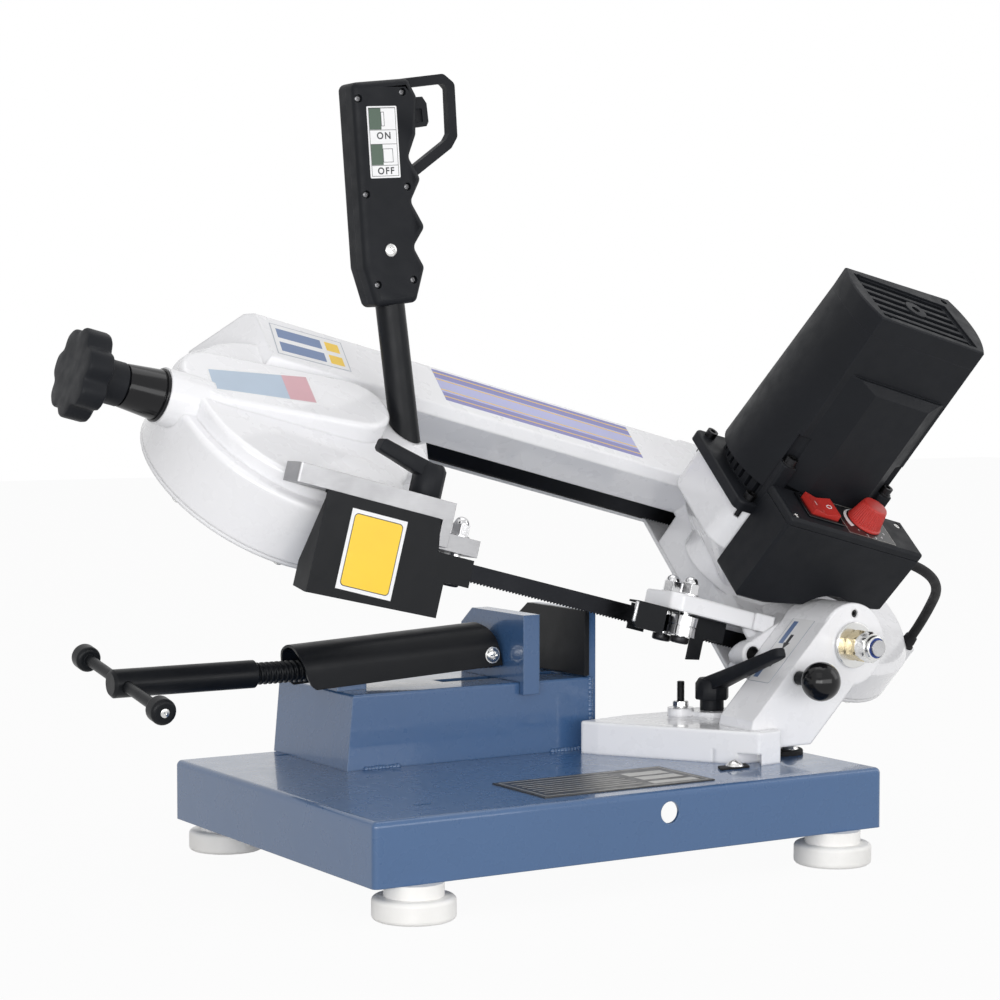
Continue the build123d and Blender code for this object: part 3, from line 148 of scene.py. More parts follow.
def vary_color(material, color, scale, spread, edge=None):
    """Cloudy change of the paint, with worn or dusty edges where an edge colour is given."""
    cloud = noise(material, scale, 4.0)
    shade = ramp(material, cloud, "Fac", [(0.3, tinted(color, 1 - spread)), (0.7, tinted(color, 1 + spread))])
    bsdf = material.node_tree.nodes["Principled BSDF"]
    if edge is None:
        link(material, shade, "Color", bsdf, "Base Color")
        return
    wear = edge_mask(material, 0.0012)
    blend = node_of(material, "ShaderNodeMix", data_type="RGBA")
    link(material, wear, "Color", blend, 0)
    link(material, shade, "Color", blend, 6)
    blend.inputs[7].default_value = (*edge, 1.0)
    link(material, blend, 2, bsdf, "Base Color")


def edge_mask(material, radius):
    """White on sharp edges, broken up by fine noise."""
    bevel = node_of(material, "ShaderNodeBevel", samples=4, Radius=radius)
    geometry = node_of(material, "ShaderNodeNewGeometry")
    turn = node_of(material, "ShaderNodeVectorMath", operation="DOT_PRODUCT")
    link(material, bevel, "Normal", turn, 0)
    link(material, geometry, "Normal", turn, 1)
    speckle = noise(material, 260.0, 3.0)
    total = node_of(material, "ShaderNodeMath", operation="MULTIPLY_ADD")
    link(material, speckle, "Fac", total, 0)
    total.inputs[1].default_value = 0.10
    link(material, turn, "Value", total, 2)
    return ramp(material, total, "Value", [(0.90, grey(0.75)), (1.0, grey(0.0))])


def vary_roughness(material, scale, low, high, stretch=(1, 1, 1), turn=(0, 0, 0)):
    cloud = noise(material, scale, 5.0, stretch, turn)
    shade = ramp(material, cloud, "Fac", [(0.3, grey(low)), (0.7, grey(high))])
    link(material, shade, "Color", material.node_tree.nodes["Principled BSDF"], "Roughness")


def bump(material, scale, strength, depth, soften, stretch=(1, 1, 1), turn=(0, 0, 0)):
    """Surface relief from noise, over edges softened by a small rounding."""
    grain = noise(material, scale, 2.0, stretch, turn)
    relief = node_of(material, "ShaderNodeBump", Strength=strength, Distance=depth)
    link(material, grain, "Fac", relief, "Height")
    bevel = node_of(material, "ShaderNodeBevel", samples=4, Radius=soften)
    link(material, bevel, "Normal", relief, "Normal")
    link(material, relief, "Normal", material.node_tree.nodes["Principled BSDF"], "Normal")


# Materials

def enamel(name, color, edge, spread, soften):
    """Sprayed paint with orange peel, thin at the edges."""
    material = shader(name, color, 0.30, coat=0.55, coat_roughness=0.05, specular=0.4)
    vary_color(material, color, 7.0, spread, edge)
    vary_roughness(material, 60.0, 0.25, 0.31)
    bump(material, 420.0, 0.06, 0.0002, soften)
    return material


def moulded(name, color, low=0.42, high=0.58, grain=1500.0, strength=0.22, specular=0.5, edge=1.9):
    """Moulded plastic with a fine spark-eroded grain."""
    material = shader(name, color, 0.5, specular=specular)
    vary_color(material, color, 25.0, 0.08, tinted(color, edge))
    vary_roughness(material, 90.0, low, high)
    bump(material, grain, strength, 0.0003, 0.0008)
    return material


METAL_GRAIN = 120.0


def bare_metal(name, color, low, high, stretch=(1, 1, 1), turn=(0, 0, 0)):
    material = shader(name, color, (low + high) / 2, metallic=1.0)
    vary_color(material, color, 40.0, 0.10)
    vary_roughness(material, METAL_GRAIN, low, high, stretch, turn)
    bump(material, METAL_GRAIN * 4, 0.10, 0.0002, 0.0005, stretch, turn)
    return material


def plain_print(name, color):
    """Printed film of a label: nearly even colour under a satin varnish."""
    material = shader(name, color, 0.35, coat=0.2, coat_roughness=0.2)
    vary_color(material, color, 30.0, 0.03)
    return material


BOW_SLOPE = (0, math.radians(14.6), 0)
BLUE = enamel("blue enamel", (0.046, 0.108, 0.235), (0.11, 0.19, 0.33), 0.03, 0.0014)
WHITE = enamel("white enamel", (0.82, 0.82, 0.84), (0.86, 0.86, 0.87), 0.004, 0.0026)
FOOT_WHITE = moulded("white foot plastic", (0.84, 0.83, 0.81), 0.35, 0.5, 700.0, 0.12, edge=1.05)
BLACK_PLASTIC = moulded("black plastic", (0.0085, 0.0095, 0.0120), specular=0.16)
BLACK_GLOSS = moulded("black gloss plastic", (0.004, 0.004, 0.005), 0.10, 0.18, 300.0, 0.02, 0.30)
BLACK_STEEL = moulded("black powder coat", (0.0060, 0.0068, 0.0085), 0.30, 0.42, 900.0, 0.12, 0.17)
RUBBER = moulded("black rubber", (0.010, 0.010, 0.011), 0.55, 0.75, 1100.0, 0.2, 0.2)
RED = moulded("red plastic", (0.46, 0.030, 0.024), 0.28, 0.4, 900.0, 0.05, 0.4, 1.25)
ZINC = bare_metal("bright zinc", (0.70, 0.70, 0.69), 0.14, 0.30)
CHROME = bare_metal("chrome", (0.62, 0.62, 0.63), 0.06, 0.14)
GOLD_ZINC = bare_metal("yellow zinc", (0.66, 0.56, 0.36), 0.20, 0.34)
DARK_STEEL = bare_metal("black oxide", (0.030, 0.030, 0.032), 0.32, 0.48)
STEEL = bare_metal("ground steel", (0.50, 0.50, 0.51), 0.20, 0.36)
BLADE_STEEL = bare_metal("blade steel", (0.020, 0.021, 0.024), 0.34, 0.48, (1, 8, 8))
CAST = bare_metal("machined cast iron", (0.30, 0.30, 0.31), 0.42, 0.6)
ALUMINIUM = bare_metal("milled aluminium", (0.36, 0.36, 0.37), 0.30, 0.46, (1, 14, 14), BOW_SLOPE)
NYLON = moulded("blue nylon", (0.02, 0.05, 0.22), 0.3, 0.4, 600.0, 0.05)
PLATE_DARK = bare_metal("etched plate", (0.085, 0.083, 0.080), 0.30, 0.45)
FILM_WHITE = plain_print("white film", (0.80, 0.80, 0.81))
FILM_YELLOW = plain_print("yellow film", (0.86, 0.56, 0.02))
FILM_LAVENDER = plain_print("lavender film", (0.42, 0.43, 0.68))
FILM_VIOLET = plain_print("violet film", (0.20, 0.20, 0.46))
FILM_BLUE = plain_print("blue film", (0.12, 0.19, 0.36))
FILM_SKY = plain_print("sky blue film", (0.42, 0.51, 0.62))
FILM_PINK = plain_print("pink film", (0.62, 0.36, 0.40))
FILM_GREY = plain_print("grey film", (0.40, 0.42, 0.47))
FILM_GREEN = plain_print("green film", (0.045, 0.085, 0.055))
FILM_BLACK = plain_print("black film", (0.010, 0.010, 0.011))
INK = plain_print("black ink", (0.016, 0.016, 0.022))
RULED = plain_print("pale rule", (0.42, 0.41, 0.38))

SLOT_MATERIALS = {
    "blue_enamel": BLUE, "white_paint": WHITE, "white_plastic": FOOT_WHITE, "black_plastic": BLACK_PLASTIC,
    "black_steel": BLACK_STEEL, "bright_zinc": ZINC, "dark_screws": DARK_STEEL, "steel": STEEL,
    "cast_wheel": CAST, "bare_aluminium": ALUMINIUM, "dark_plate": PLATE_DARK, "soft_rubber": RUBBER,
    "red_plastic": RED}
ROLLERS = ("front_roller_a", "front_roller_b", "rear_roller_a", "rear_roller_b")
NODE_MATERIALS = {"ball_knob": BLACK_GLOSS, "blade": BLADE_STEEL, "tension_sleeve": BLACK_GLOSS,
                  "front_pins": CHROME, "guide_nuts": CHROME, **{name: CHROME for name in ROLLERS}}


def dress_nodes():
    """Each carried-over solid takes the material of its slot, or its own."""
    for part in frame["record"]["subparts"]:
        material = NODE_MATERIALS.get(part["node"], SLOT_MATERIALS[part["material_slot"]])
        mesh = NODES[part["node"]].data
        mesh.materials.clear()
        mesh.materials.append(material)


dress_nodes()


# Mesh building blocks, in millimetres of a local frame

def circle_points(radius, count, start=0.0):
    step = 2 * math.pi / count
    return [(radius * math.cos(start + i * step), radius * math.sin(start + i * step)) for i in range(count)]


def arc_points(centre, radius, first, last, count):
    """Points on an arc, by angles in degrees."""
    span = math.radians(last - first)
    turns = [math.radians(first) + span * i / (count - 1) for i in range(count)]
    return [(centre[0] + radius * math.cos(t), centre[1] + radius * math.sin(t)) for t in turns]


def rounded_rectangle(x0, x1, y0, y1, radius, count=6):
    points = []
    for cx, cy, first in ((x1 - radius, y1 - radius, 0), (x0 + radius, y1 - radius, 90),
                          (x0 + radius, y0 + radius, 180), (x1 - radius, y0 + radius, 270)):
        points += arc_points((cx, cy), radius, first, first + 90, count)
    return points


def add_loops(bm, loops, capped=True):
    """Skin over rings of points that have equal counts."""
    rows = [[bm.verts.new(point) for point in loop] for loop in loops]
    count = len(rows[0])
    for low, high in zip(rows, rows[1:]):
        for i in range(count):
            j = (i + 1) % count
            bm.faces.new((low[i], low[j], high[j], high[i]))
    if capped:
        bm.faces.new(list(reversed(rows[0])))
        bm.faces.new(rows[-1])


def add_prism(bm, points, z0, z1):
    add_loops(bm, [[(x, y, z) for x, y in points] for z in (z0, z1)])


def turned_loops(profile, count):
    """Rings around Z from (radius, height) pairs."""
    return [[(x, y, z) for x, y in circle_points(r, count)] for r, z in profile]


def uneven_ring(radii, z):
    """Ring around Z with a radius for each point."""
    return [(r * x, r * y, z) for r, (x, y) in zip(radii, circle_points(1.0, len(radii)))]


def solid_mesh(loops):
    bm = bmesh.new()
    add_loops(bm, loops)
    return bm


def lathe_mesh(profile):
    """Turned solid around Z from (radius, height) pairs, first to last."""
    return solid_mesh(turned_loops(profile, 32))


def closed_mesh(loops):
    """Skin that runs on from the last ring to the first."""
    bm = bmesh.new()
    add_loops(bm, loops + loops[:1], False)
    bmesh.ops.remove_doubles(bm, verts=bm.verts, dist=0.0001)
    return bm


def ring_mesh(profile, count=64):
    """Closed ring around Z from (radius, height) pairs that go round its section."""
    return closed_mesh(turned_loops(profile, count))


def round_edges(bm, width):
    """Rounds every edge that turns by more than 30 degrees."""
    bm.normal_update()
    limit = math.radians(30.0)
    sharp = [edge for edge in bm.edges if len(edge.link_faces) == 2 and edge.calc_face_angle() > limit]
    bmesh.ops.bevel(bm, geom=sharp, offset=width, segments=2, profile=0.5, affect="EDGES",
                    clamp_overlap=True)


def shade_by_angle(bm, angle):
    """Smooth faces, with a hard line at every edge that turns by more than the angle."""
    bm.normal_update()
    limit = math.radians(angle)
    for face in bm.faces:
        face.smooth = True
    for edge in bm.edges:
        edge.smooth = len(edge.link_faces) == 2 and edge.calc_face_angle() < limit


SMOOTH_ANGLE = 40.0


def new_object(name, data):
    obj = bpy.data.objects.new(name, data)
    bpy.context.scene.collection.objects.link(obj)
    return obj


def worked_out(obj):
    """Mesh of an object after its modifiers, or of its letters."""
    bpy.context.view_layer.update()
    return bpy.data.meshes.new_from_object(obj.evaluated_get(bpy.context.evaluated_depsgraph_get()))


def piece(name, bm, place, material, body, angle=SMOOTH_ANGLE):
    """Finished object in metres that rides on a body, smooth except at sharp edges."""
    bmesh.ops.recalc_face_normals(bm, faces=bm.faces)
    shade_by_angle(bm, angle)
    bm.transform(place)
    mesh = bpy.data.meshes.new(name)
    bm.to_mesh(mesh)
    bm.free()
    mesh.materials.append(material)
    obj = new_object(name, mesh)
    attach(obj, body)
    return obj


def turned(place, at, z_dir, x_dir):
    """Frame inside another one, with its own Z and X directions."""
    z_axis = Vector(z_dir).normalized()
    y_axis = z_axis.cross(Vector(x_dir)).normalized()
    x_axis = y_axis.cross(z_axis)
    turn = Matrix((x_axis, y_axis, z_axis)).transposed().to_4x4()
    return place @ Matrix.Translation(at) @ turn


def moved(place, at):
    """Frame inside another one, with the same directions."""
    return place @ Matrix.Translation(at)


def facing(place, at):
    """Frame inside another one, whose Z points to the near side."""
    return turned(place, at, (0, -1, 0), (1, 0, 0))


def cut_by(obj, bm, place):
    """Takes a closed cutter out of a finished object."""
    mesh = bpy.data.meshes.new("cutter")
    bmesh.ops.recalc_face_normals(bm, faces=bm.faces)
    bm.transform(place)
    bm.to_mesh(mesh)
    bm.free()
    cutter = new_object("cutter", mesh)
    step = obj.modifiers.new("cut", "BOOLEAN")
    step.operation = "DIFFERENCE"
    step.solver = "EXACT"
    step.object = cutter
    result = worked_out(obj)
    obj.modifiers.clear()
    obj.data = result
    bpy.data.objects.remove(cutter)
    shaded = bmesh.new()
    shaded.from_mesh(result)
    shade_by_angle(shaded, SMOOTH_ANGLE)
    shaded.to_mesh(result)
    shaded.free()


def node_copy(node):
    """Mesh of a solid, to be changed."""
    bm = bmesh.new()
    bm.from_mesh(NODES[node].data)
    bmesh.ops.remove_doubles(bm, verts=bm.verts, dist=1e-6)
    return bm


def carved(name, node, body, cutters):
    """Copy of a solid with shapes taken out of it, which stands for that solid."""
    obj = piece(name, node_copy(node), Matrix(), NODES[node].data.materials[0], body)
    for cutter, place in cutters:
        cut_by(obj, cutter, place)
    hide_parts(node)


def prisms(shapes, z0, z1):
    bm = bmesh.new()
    for points in shapes:
        add_prism(bm, points, z0, z1)
    return bm


def rectangle(x0, x1, y0, y1):
    return [(x0, y0), (x1, y0), (x1, y1), (x0, y1)]


def outline(x0, x1, y0, y1, width):
    """Four bars along the edges of a rectangle."""
    low = y0 + width
    high = y1 - width
    return [rectangle(x0, x1, y0, low), rectangle(x0, x1, high, y1),
            rectangle(x0, x0 + width, low, high), rectangle(x1 - width, x1, low, high)]


def lettering(name, text, size, place, material, body, weight=0.0, spacing=1.0):
    """Flat letters centred on the frame's origin."""
    data = bpy.data.curves.new(name, "FONT")
    data.body = text
    data.size = size
    data.align_x = "CENTER"
    data.align_y = "CENTER"
    data.extrude = 0.05
    data.offset = weight
    data.space_character = spacing
    source = new_object(name, data)
    mesh = worked_out(source)
    bm = bmesh.new()
    bm.from_mesh(mesh)
    bpy.data.objects.remove(source)
    bpy.data.meshes.remove(mesh)
    piece(name, bm, place, material, body)


def cross_points(reach, half):
    return [(reach, half), (half, half), (half, reach), (-half, reach), (-half, half), (-reach, half),
            (-reach, -half), (-half, -half), (-half, -reach), (half, -reach), (half, -half), (reach, -half)]


def cross_head(name, place, radius, height, body, material=ZINC):
    """Domed screw head with a cross recess, on the frame's XY plane."""
    dome = [(radius, 0), (radius, 0.35 * height), (0.93 * radius, 0.62 * height),
            (0.72 * radius, 0.86 * height), (0.4 * radius, 0.97 * height), (0.1 * radius, height)]
    obj = piece(name, lathe_mesh(dome), place, material, body)
    cut_by(obj, prisms([cross_points(0.55 * radius, 0.13 * radius)], 0.4 * height, 2 * height), place)


# Vise

SCREW_Y = 74.0
SCREW_Z = 136.0
SCREW_AXIS = turned(GROUND, (0, SCREW_Y, SCREW_Z), (1, 0, 0), (0, 1, 0))
GRIP_R = 10.0
GRIP_X0 = -290.0
GRIP_X1 = -180.0
THREAD_R = 8.0
THREAD_ROOT = 6.5
THREAD_PITCH = 4.0
THREAD_END = 16.6
TIP_R = 4.8
TIP_END = 26.5
BAR_X = -281.0
BAR_R = 4.0
BAR_TILT = 10.0


def thread_radius(phase):
    """Trapezoid thread: crest, flank, root and flank over one turn."""
    phase = phase % 1.0
    if phase < 0.35:
        return THREAD_R
    if phase < 0.5:
        return THREAD_R + (THREAD_ROOT - THREAD_R) * (phase - 0.35) / 0.15
    if phase < 0.85:
        return THREAD_ROOT
    return THREAD_ROOT + (THREAD_R - THREAD_ROOT) * (phase - 0.85) / 0.15


def vise_screw():
    count = 32
    loops = turned_loops([(GRIP_R - 2.0, GRIP_X0), (GRIP_R, GRIP_X0 + 2.0), (GRIP_R, GRIP_X1 - 1.5),
                          (GRIP_R - 1.5, GRIP_X1), (THREAD_ROOT, GRIP_X1)], count)
    steps = int((THREAD_END - GRIP_X1) / THREAD_PITCH * 10)
    for i in range(1, steps + 1):
        z = GRIP_X1 + (THREAD_END - GRIP_X1) * i / steps
        loops.append(uneven_ring([thread_radius(z / THREAD_PITCH - k / count) for k in range(count)], z))
    loops += turned_loops([(TIP_R, THREAD_END), (TIP_R, TIP_END - 1), (TIP_R - 1, TIP_END)], count)
    bm = solid_mesh(loops)
    obj = piece("vise_screw_turned", bm, SCREW_AXIS, BLACK_STEEL, "vise_screw", 32.0)
    hole = lathe_mesh([(BAR_R + 0.05, -20), (BAR_R + 0.05, 20)])
    tilt = math.radians(BAR_TILT)
    cut_by(obj, hole, turned(SCREW_AXIS, (0, 0, BAR_X), (math.cos(tilt), math.sin(tilt), 0), (0, 0, 1)))
    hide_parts("vise_screw")


GUARD_HINGE = Vector((-0.153, 0.074, 0.123))
GUARD_RISE = 3.0
GUARD_RIGHT = [(16.4, 100), (16.4, 126), (13.5, 141), (10, 153), (6.5, 159.5), (2, 163.5),
               (-4, 166), (-4, 190), (60, 190), (60, 100)]
GUARD_LEFT = [(-170, 200), (-152.6, 200), (-152.6, 150), (-147.5, 133), (-144, 126.5),
              (-138, 122), (-138, 90), (-170, 90)]


def screw_guard():
    """Sheet cover that rises towards the jaw, with oblique ends."""
    rise = Matrix.Rotation(math.radians(-GUARD_RISE), 4, "Y")
    place = Matrix.Translation(GUARD_HINGE) @ rise @ Matrix.Translation(-GUARD_HINGE)
    obj = piece("risen_guard", node_copy("screw_guard"), place, BLACK_STEEL, "vise_jaw")
    from_side = facing(GROUND, (0, 0, 0))
    for shape in (GUARD_RIGHT, GUARD_LEFT):
        cut_by(obj, prisms([shape], -200, 0), from_side)
    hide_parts("screw_guard")


WELDS = [("weld_corner", (80.5, 36.5, 70), (80.5, 36.5, 119), 16, 2.6),
         ("weld_foot_right", (46, 34.6, 67.6), (78, 34.6, 67.6), 12, 2.2),
         ("weld_foot_left", (-112, 34.6, 67.6), (-86, 34.6, 67.6), 10, 2.0)]


def weld(name, first, last, count, radius):
    """Painted bead of overlapping drops."""
    bm = bmesh.new()
    for i in range(count):
        at = Vector(first).lerp(Vector(last), i / (count - 1))
        bmesh.ops.create_icosphere(bm, subdivisions=2, radius=radius * (1 + 0.12 * math.sin(5 * i)),
                                   matrix=Matrix.Translation(at))
    piece(name, bm, GROUND, BLUE, "base")


vise_screw()
screw_guard()
for row in WELDS:
    weld(*row)


# Tension knob and its sleeve, around the tension screw

TENSION = turned(WHEELS, (0, 0, 28), (1, 0, 0), (0, 1, 0))
KNOB_LOBES = 7
KNOB_POINTS = 126
KNOB_R = 31.0
KNOB_SCALLOP = 4.4
KNOB_FRONT = -169.4
KNOB_BACK = -150.9
HUB_R = 15.0
HUB_END = -132.4
NECK_R = 11.5
NECK_END = -121.0
SLEEVE_MOUTH = -132.0
SLEEVE_SEAT = -104.0
SLEEVE_R = 17.5
BORE_END = SLEEVE_MOUTH + 11.9


def star_loop(inset, z):
    """Ring of a lobed knob: broad lobes with short scallops between them."""
    radii = []
    for x, y in circle_points(1.0, KNOB_POINTS):
        turn = math.atan2(y, x) * KNOB_LOBES
        dip = ((1 + math.cos(turn)) / 2) ** 2
        radii.append(KNOB_R - KNOB_SCALLOP * dip - inset)
    return uneven_ring(radii, z)


def tension_knob():
    rim = [(9.0, 0.0), (2.4, 0.2), (0.9, 0.7), (0.2, 1.7), (0.0, 3.2), (0.0, 15.0), (0.6, 17.1), (2.4, 18.3),
           (6.0, 18.5)]
    loops = turned_loops([(8.0, KNOB_FRONT)], KNOB_POINTS)
    loops += [star_loop(inset, KNOB_FRONT + depth) for inset, depth in rim]
    shank = [(HUB_R + 2.5, KNOB_BACK), (HUB_R + 0.6, KNOB_BACK + 0.8), (HUB_R, KNOB_BACK + 2.5),
             (HUB_R, HUB_END - 1), (HUB_R - 1, HUB_END), (NECK_R, HUB_END), (NECK_R, NECK_END),
             (5.0, NECK_END), (5.0, -5.0)]
    loops += turned_loops(shank, KNOB_POINTS)
    obj = piece("star_knob", solid_mesh(loops), TENSION, BLACK_PLASTIC, "tension_knob", 32.0)
    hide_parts("tension_knob")


def tension_sleeve():
    mouth_r = SLEEVE_R - 2.5
    profile = [(NECK_R + 0.4, BORE_END), (NECK_R + 0.4, SLEEVE_MOUTH + 1), (NECK_R + 1, SLEEVE_MOUTH),
               (mouth_r - 1.2, SLEEVE_MOUTH), (mouth_r - 0.3, SLEEVE_MOUTH + 0.4),
               (mouth_r, SLEEVE_MOUTH + 1.4), (SLEEVE_R - 0.2, SLEEVE_SEAT - 3),
               (SLEEVE_R - 0.8, SLEEVE_SEAT - 2.6), (SLEEVE_R - 0.8, SLEEVE_SEAT - 2.1),
               (SLEEVE_R + 0.6, SLEEVE_SEAT - 2), (SLEEVE_R + 1, SLEEVE_SEAT - 1.6),
               (SLEEVE_R + 1, SLEEVE_SEAT), (5.4, SLEEVE_SEAT), (5.4, BORE_END)]
    obj = piece("knob_sleeve", ring_mesh(profile), TENSION, BLACK_GLOSS, "bow", 32.0)
    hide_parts("tension_sleeve")


tension_knob()
tension_sleeve()


# Blade with teeth along its lower edge

WHEEL_R = 76.0
SPACING = (joint_at("drive_spin") - joint_at("idler_spin")).length * 1000
BLADE_T = 0.65
BLADE_W = 13.0
BLADE_TILT = math.acos(N_AXIS.dot(W_AXIS))
TOOTH = 1.2
TEETH = 520
TWIST_IN = 12.0
FRONT_A = (joint_at("front_roller_a_spin") - joint_at("idler_spin")).dot(U_AXIS) * 1000
REAR_A = (joint_at("rear_roller_a_spin") - joint_at("idler_spin")).dot(U_AXIS) * 1000


def blade_twist(a):
    """Turn of the blade about its run, from flat on the wheels to upright between the guides."""
    if a < FRONT_A:
        share = (a - TWIST_IN) / (FRONT_A - TWIST_IN)
    elif a > REAR_A:
        share = (SPACING - TWIST_IN - a) / (SPACING - TWIST_IN - REAR_A)
    else:
        share = 1.0
    return BLADE_TILT * min(1.0, max(0.0, share))


def blade_station(way):
    """Centre, outward direction and width direction of the loop at a distance along it."""
    half_turn = math.pi * WHEEL_R
    if way < SPACING:
        twist = blade_twist(way)
        out = Vector((0, -math.cos(twist), math.sin(twist)))
        return Vector((way, -WHEEL_R, 0)), out, Vector((0, math.sin(twist), math.cos(twist)))
    way -= SPACING
    if way < half_turn:
        turn = way / WHEEL_R - math.pi / 2
        out = Vector((math.cos(turn), math.sin(turn), 0))
        return Vector((SPACING, 0, 0)) + out * WHEEL_R, out, Vector((0, 0, 1))
    way -= half_turn
    if way < SPACING:
        return Vector((SPACING - way, WHEEL_R, 0)), Vector((0, 1, 0)), Vector((0, 0, 1))
    turn = (way - SPACING) / WHEEL_R + math.pi / 2
    out = Vector((math.cos(turn), math.sin(turn), 0))
    return out * WHEEL_R, out, Vector((0, 0, 1))


def toothed_blade():
    length = 2 * SPACING + 2 * math.pi * WHEEL_R
    loops = []
    for i in range(TEETH):
        for share, edge in ((0.0, 0.0), (0.25, -TOOTH), (0.35, -TOOTH)):
            centre, out, wide = blade_station(length * (i + share) / TEETH)
            side = out * (BLADE_T / 2)
            tooth = wide * (-BLADE_W / 2 + TOOTH + edge)
            body = wide * (-BLADE_W / 2 + TOOTH + 0.1)
            back = wide * (BLADE_W / 2)
            near = centre - side
            far = centre + side
            loops.append([near + tooth, far + tooth, far + body, far + back, near + back, near + body])
    obj = piece("toothed_blade", closed_mesh(loops), WHEELS, BLADE_STEEL, "bow", 30.0)
    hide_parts("blade")


toothed_blade()


# Nuts of the bow pivot

PIVOT_FACE = facing(GROUND, (231, -88, 148))


def hex_nut(z0, z1, flats, bore, chamfer=1.2):
    """Nut with chamfered ends and a bore, as one closed skin."""
    count = 48
    step = 2 * math.pi / count

    def ring(limit, z):
        loop = []
        for i in range(count):
            off = (i * step + math.pi / 6) % (math.pi / 3) - math.pi / 6
            r = min(flats / 2 / math.cos(off), limit)
            loop.append((r * math.cos(i * step), r * math.sin(i * step), z))
        return loop

    tight = flats / 2 * 1.02
    full = flats
    loops = turned_loops([(bore, z1), (bore, z0)], count)
    loops += [ring(tight, z0), ring(full, z0 + chamfer), ring(full, z1 - chamfer), ring(tight, z1)]
    return closed_mesh(loops)


def pivot_nuts():
    washer = ring_mesh([(6.2, 0.3), (16.4, 0.3), (17.0, 0.8), (17.0, 2.8), (16.4, 3.3), (6.2, 3.3)])
    obj = piece("pivot_washer", washer, PIVOT_FACE, ZINC, "bow", 30.0)
    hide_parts("pivot_nuts")
    piece("pivot_nut", hex_nut(3.4, 13.9, 20, 6.1), PIVOT_FACE, GOLD_ZINC, "bow", 25.0)
    piece("pivot_lock_nut", hex_nut(14.1, 24.0, 20, 6.1), PIVOT_FACE, ZINC, "bow", 25.0)
    crown = ring_mesh([(7.3, 23.5), (9.2, 23.5), (9.2, 25.5), (8.6, 27.2), (7.6, 27.9), (7.3, 27.4)])
    piece("lock_nut_crown", crown, PIVOT_FACE, ZINC, "bow", 30.0)
    insert = ring_mesh([(6.05, 23.6), (7.25, 23.6), (7.25, 27.3), (6.05, 27.3)])
    piece("lock_nut_insert", insert, PIVOT_FACE, NYLON, "bow", 30.0)


pivot_nuts()


# Handle: switch plate, screws and trigger

GRIP_FACE = facing(HANDLE, (0, -13, 0))
GRIP_SCREWS = [(-13.0, 251.5), (22.5, 253.5), (-15.5, 185.0), (18.0, 187.5), (-14.5, 121.5), (14.5, 122.0)]
GRIP_SCREW_R = 2.3
PLATE_AT = (2.5, 220.0)
PLATE_W = 24.0
PLATE_H = 50.0


def grip_shell():
    pockets = prisms([circle_points(GRIP_SCREW_R + 0.5, 24)], -3.2, 9)
    cutters = []
    for x, y in GRIP_SCREWS:
        cutters.append((pockets.copy(), moved(GRIP_FACE, (x, y, 0))))
    pockets.free()
    carved("grip_shell", "handle_shell_left", "bow", cutters)
    for i, (x, y) in enumerate(GRIP_SCREWS):
        place = turned(GRIP_FACE, (x, y, -3.2), (0, 0, 1), (1, 0.4, 0))
        cross_head(f"grip_screw_{i}", place, GRIP_SCREW_R, 1.6, "bow", CAST)
    cross_head("grip_pan_screw", turned(GRIP_FACE, (-1.5, 144.5, 0), (0, 0, 1), (1, 0.6, 0)), 4.7, 1.5, "bow")


def switch_plate():
    place = turned(GRIP_FACE, (*PLATE_AT, 0), (0, 0, 1), (1, -0.06, 0))
    half_w = PLATE_W / 2
    half_h = PLATE_H / 2
    film = rounded_rectangle(-half_w, half_w, -half_h, half_h, 0.8)
    piece("switch_plate", prisms([film], 0, 0.2), place, FILM_WHITE, "bow")
    lines = outline(-half_w + 1.2, half_w - 1.2, -half_h + 1.2, half_h - 1.2, 0.35)
    greens = []
    for low, high in ((8.2, 23.6), (-16.4, -1.6)):
        lines += [rectangle(-half_w + 1.2, half_w - 1.2, edge, edge + 0.35) for edge in (low, high)]
        greens.append(rectangle(-half_w + 1.6, -1.0, low + 0.5, high))
    lines += outline(-1.0, 1.6, 11.0, 21.0, 0.35)
    lines += outline(-1.0, 7.0, -14.2, -4.6, 0.35)
    piece("switch_plate_lines", prisms(lines, 0.15, 0.26), place, INK, "bow")
    piece("switch_plate_greens", prisms(greens, 0.15, 0.24), place, FILM_GREEN, "bow")
    for name, text, y in (("switch_on", "ON", 4.2), ("switch_off", "OFF", -20.3)):
        at = moved(place, (0.5, y, 0.22))
        lettering(name, text, 6.6, at, INK, "bow", 0.16, 1.25)


def trigger():
    place = facing(HANDLE, (0, -6, 0))
    recess = prisms([rounded_rectangle(28.5, 40.5, 231.6, 241.2, 0.8)], -1.6, 5)
    carved("trigger_button", "trigger", "trigger", [(recess, place)])


grip_shell()
switch_plate()
trigger()


# Control box: lid seam, screws, rocker, dial and knob

BOX_TOP = 120.5
BOX_SCREWS = [(352.8, -79.5), (467.5, -51.5)]
ROCKER_AT = (383.0, -63.0)
KNOB_AT = (427.0, -63.0)
BOX_FACE = moved(WHEELS, (0, 0, BOX_TOP))


def box_part(at, z=0.0):
    return moved(BOX_FACE, (*at, z))


def frame_mesh(outer, inner, z0, z1):
    """Closed frame between two outlines that have equal counts."""
    return closed_mesh([[(x, y, z) for x, y in points]
                        for points, z in ((outer, z0), (outer, z1), (inner, z1), (inner, z0))])


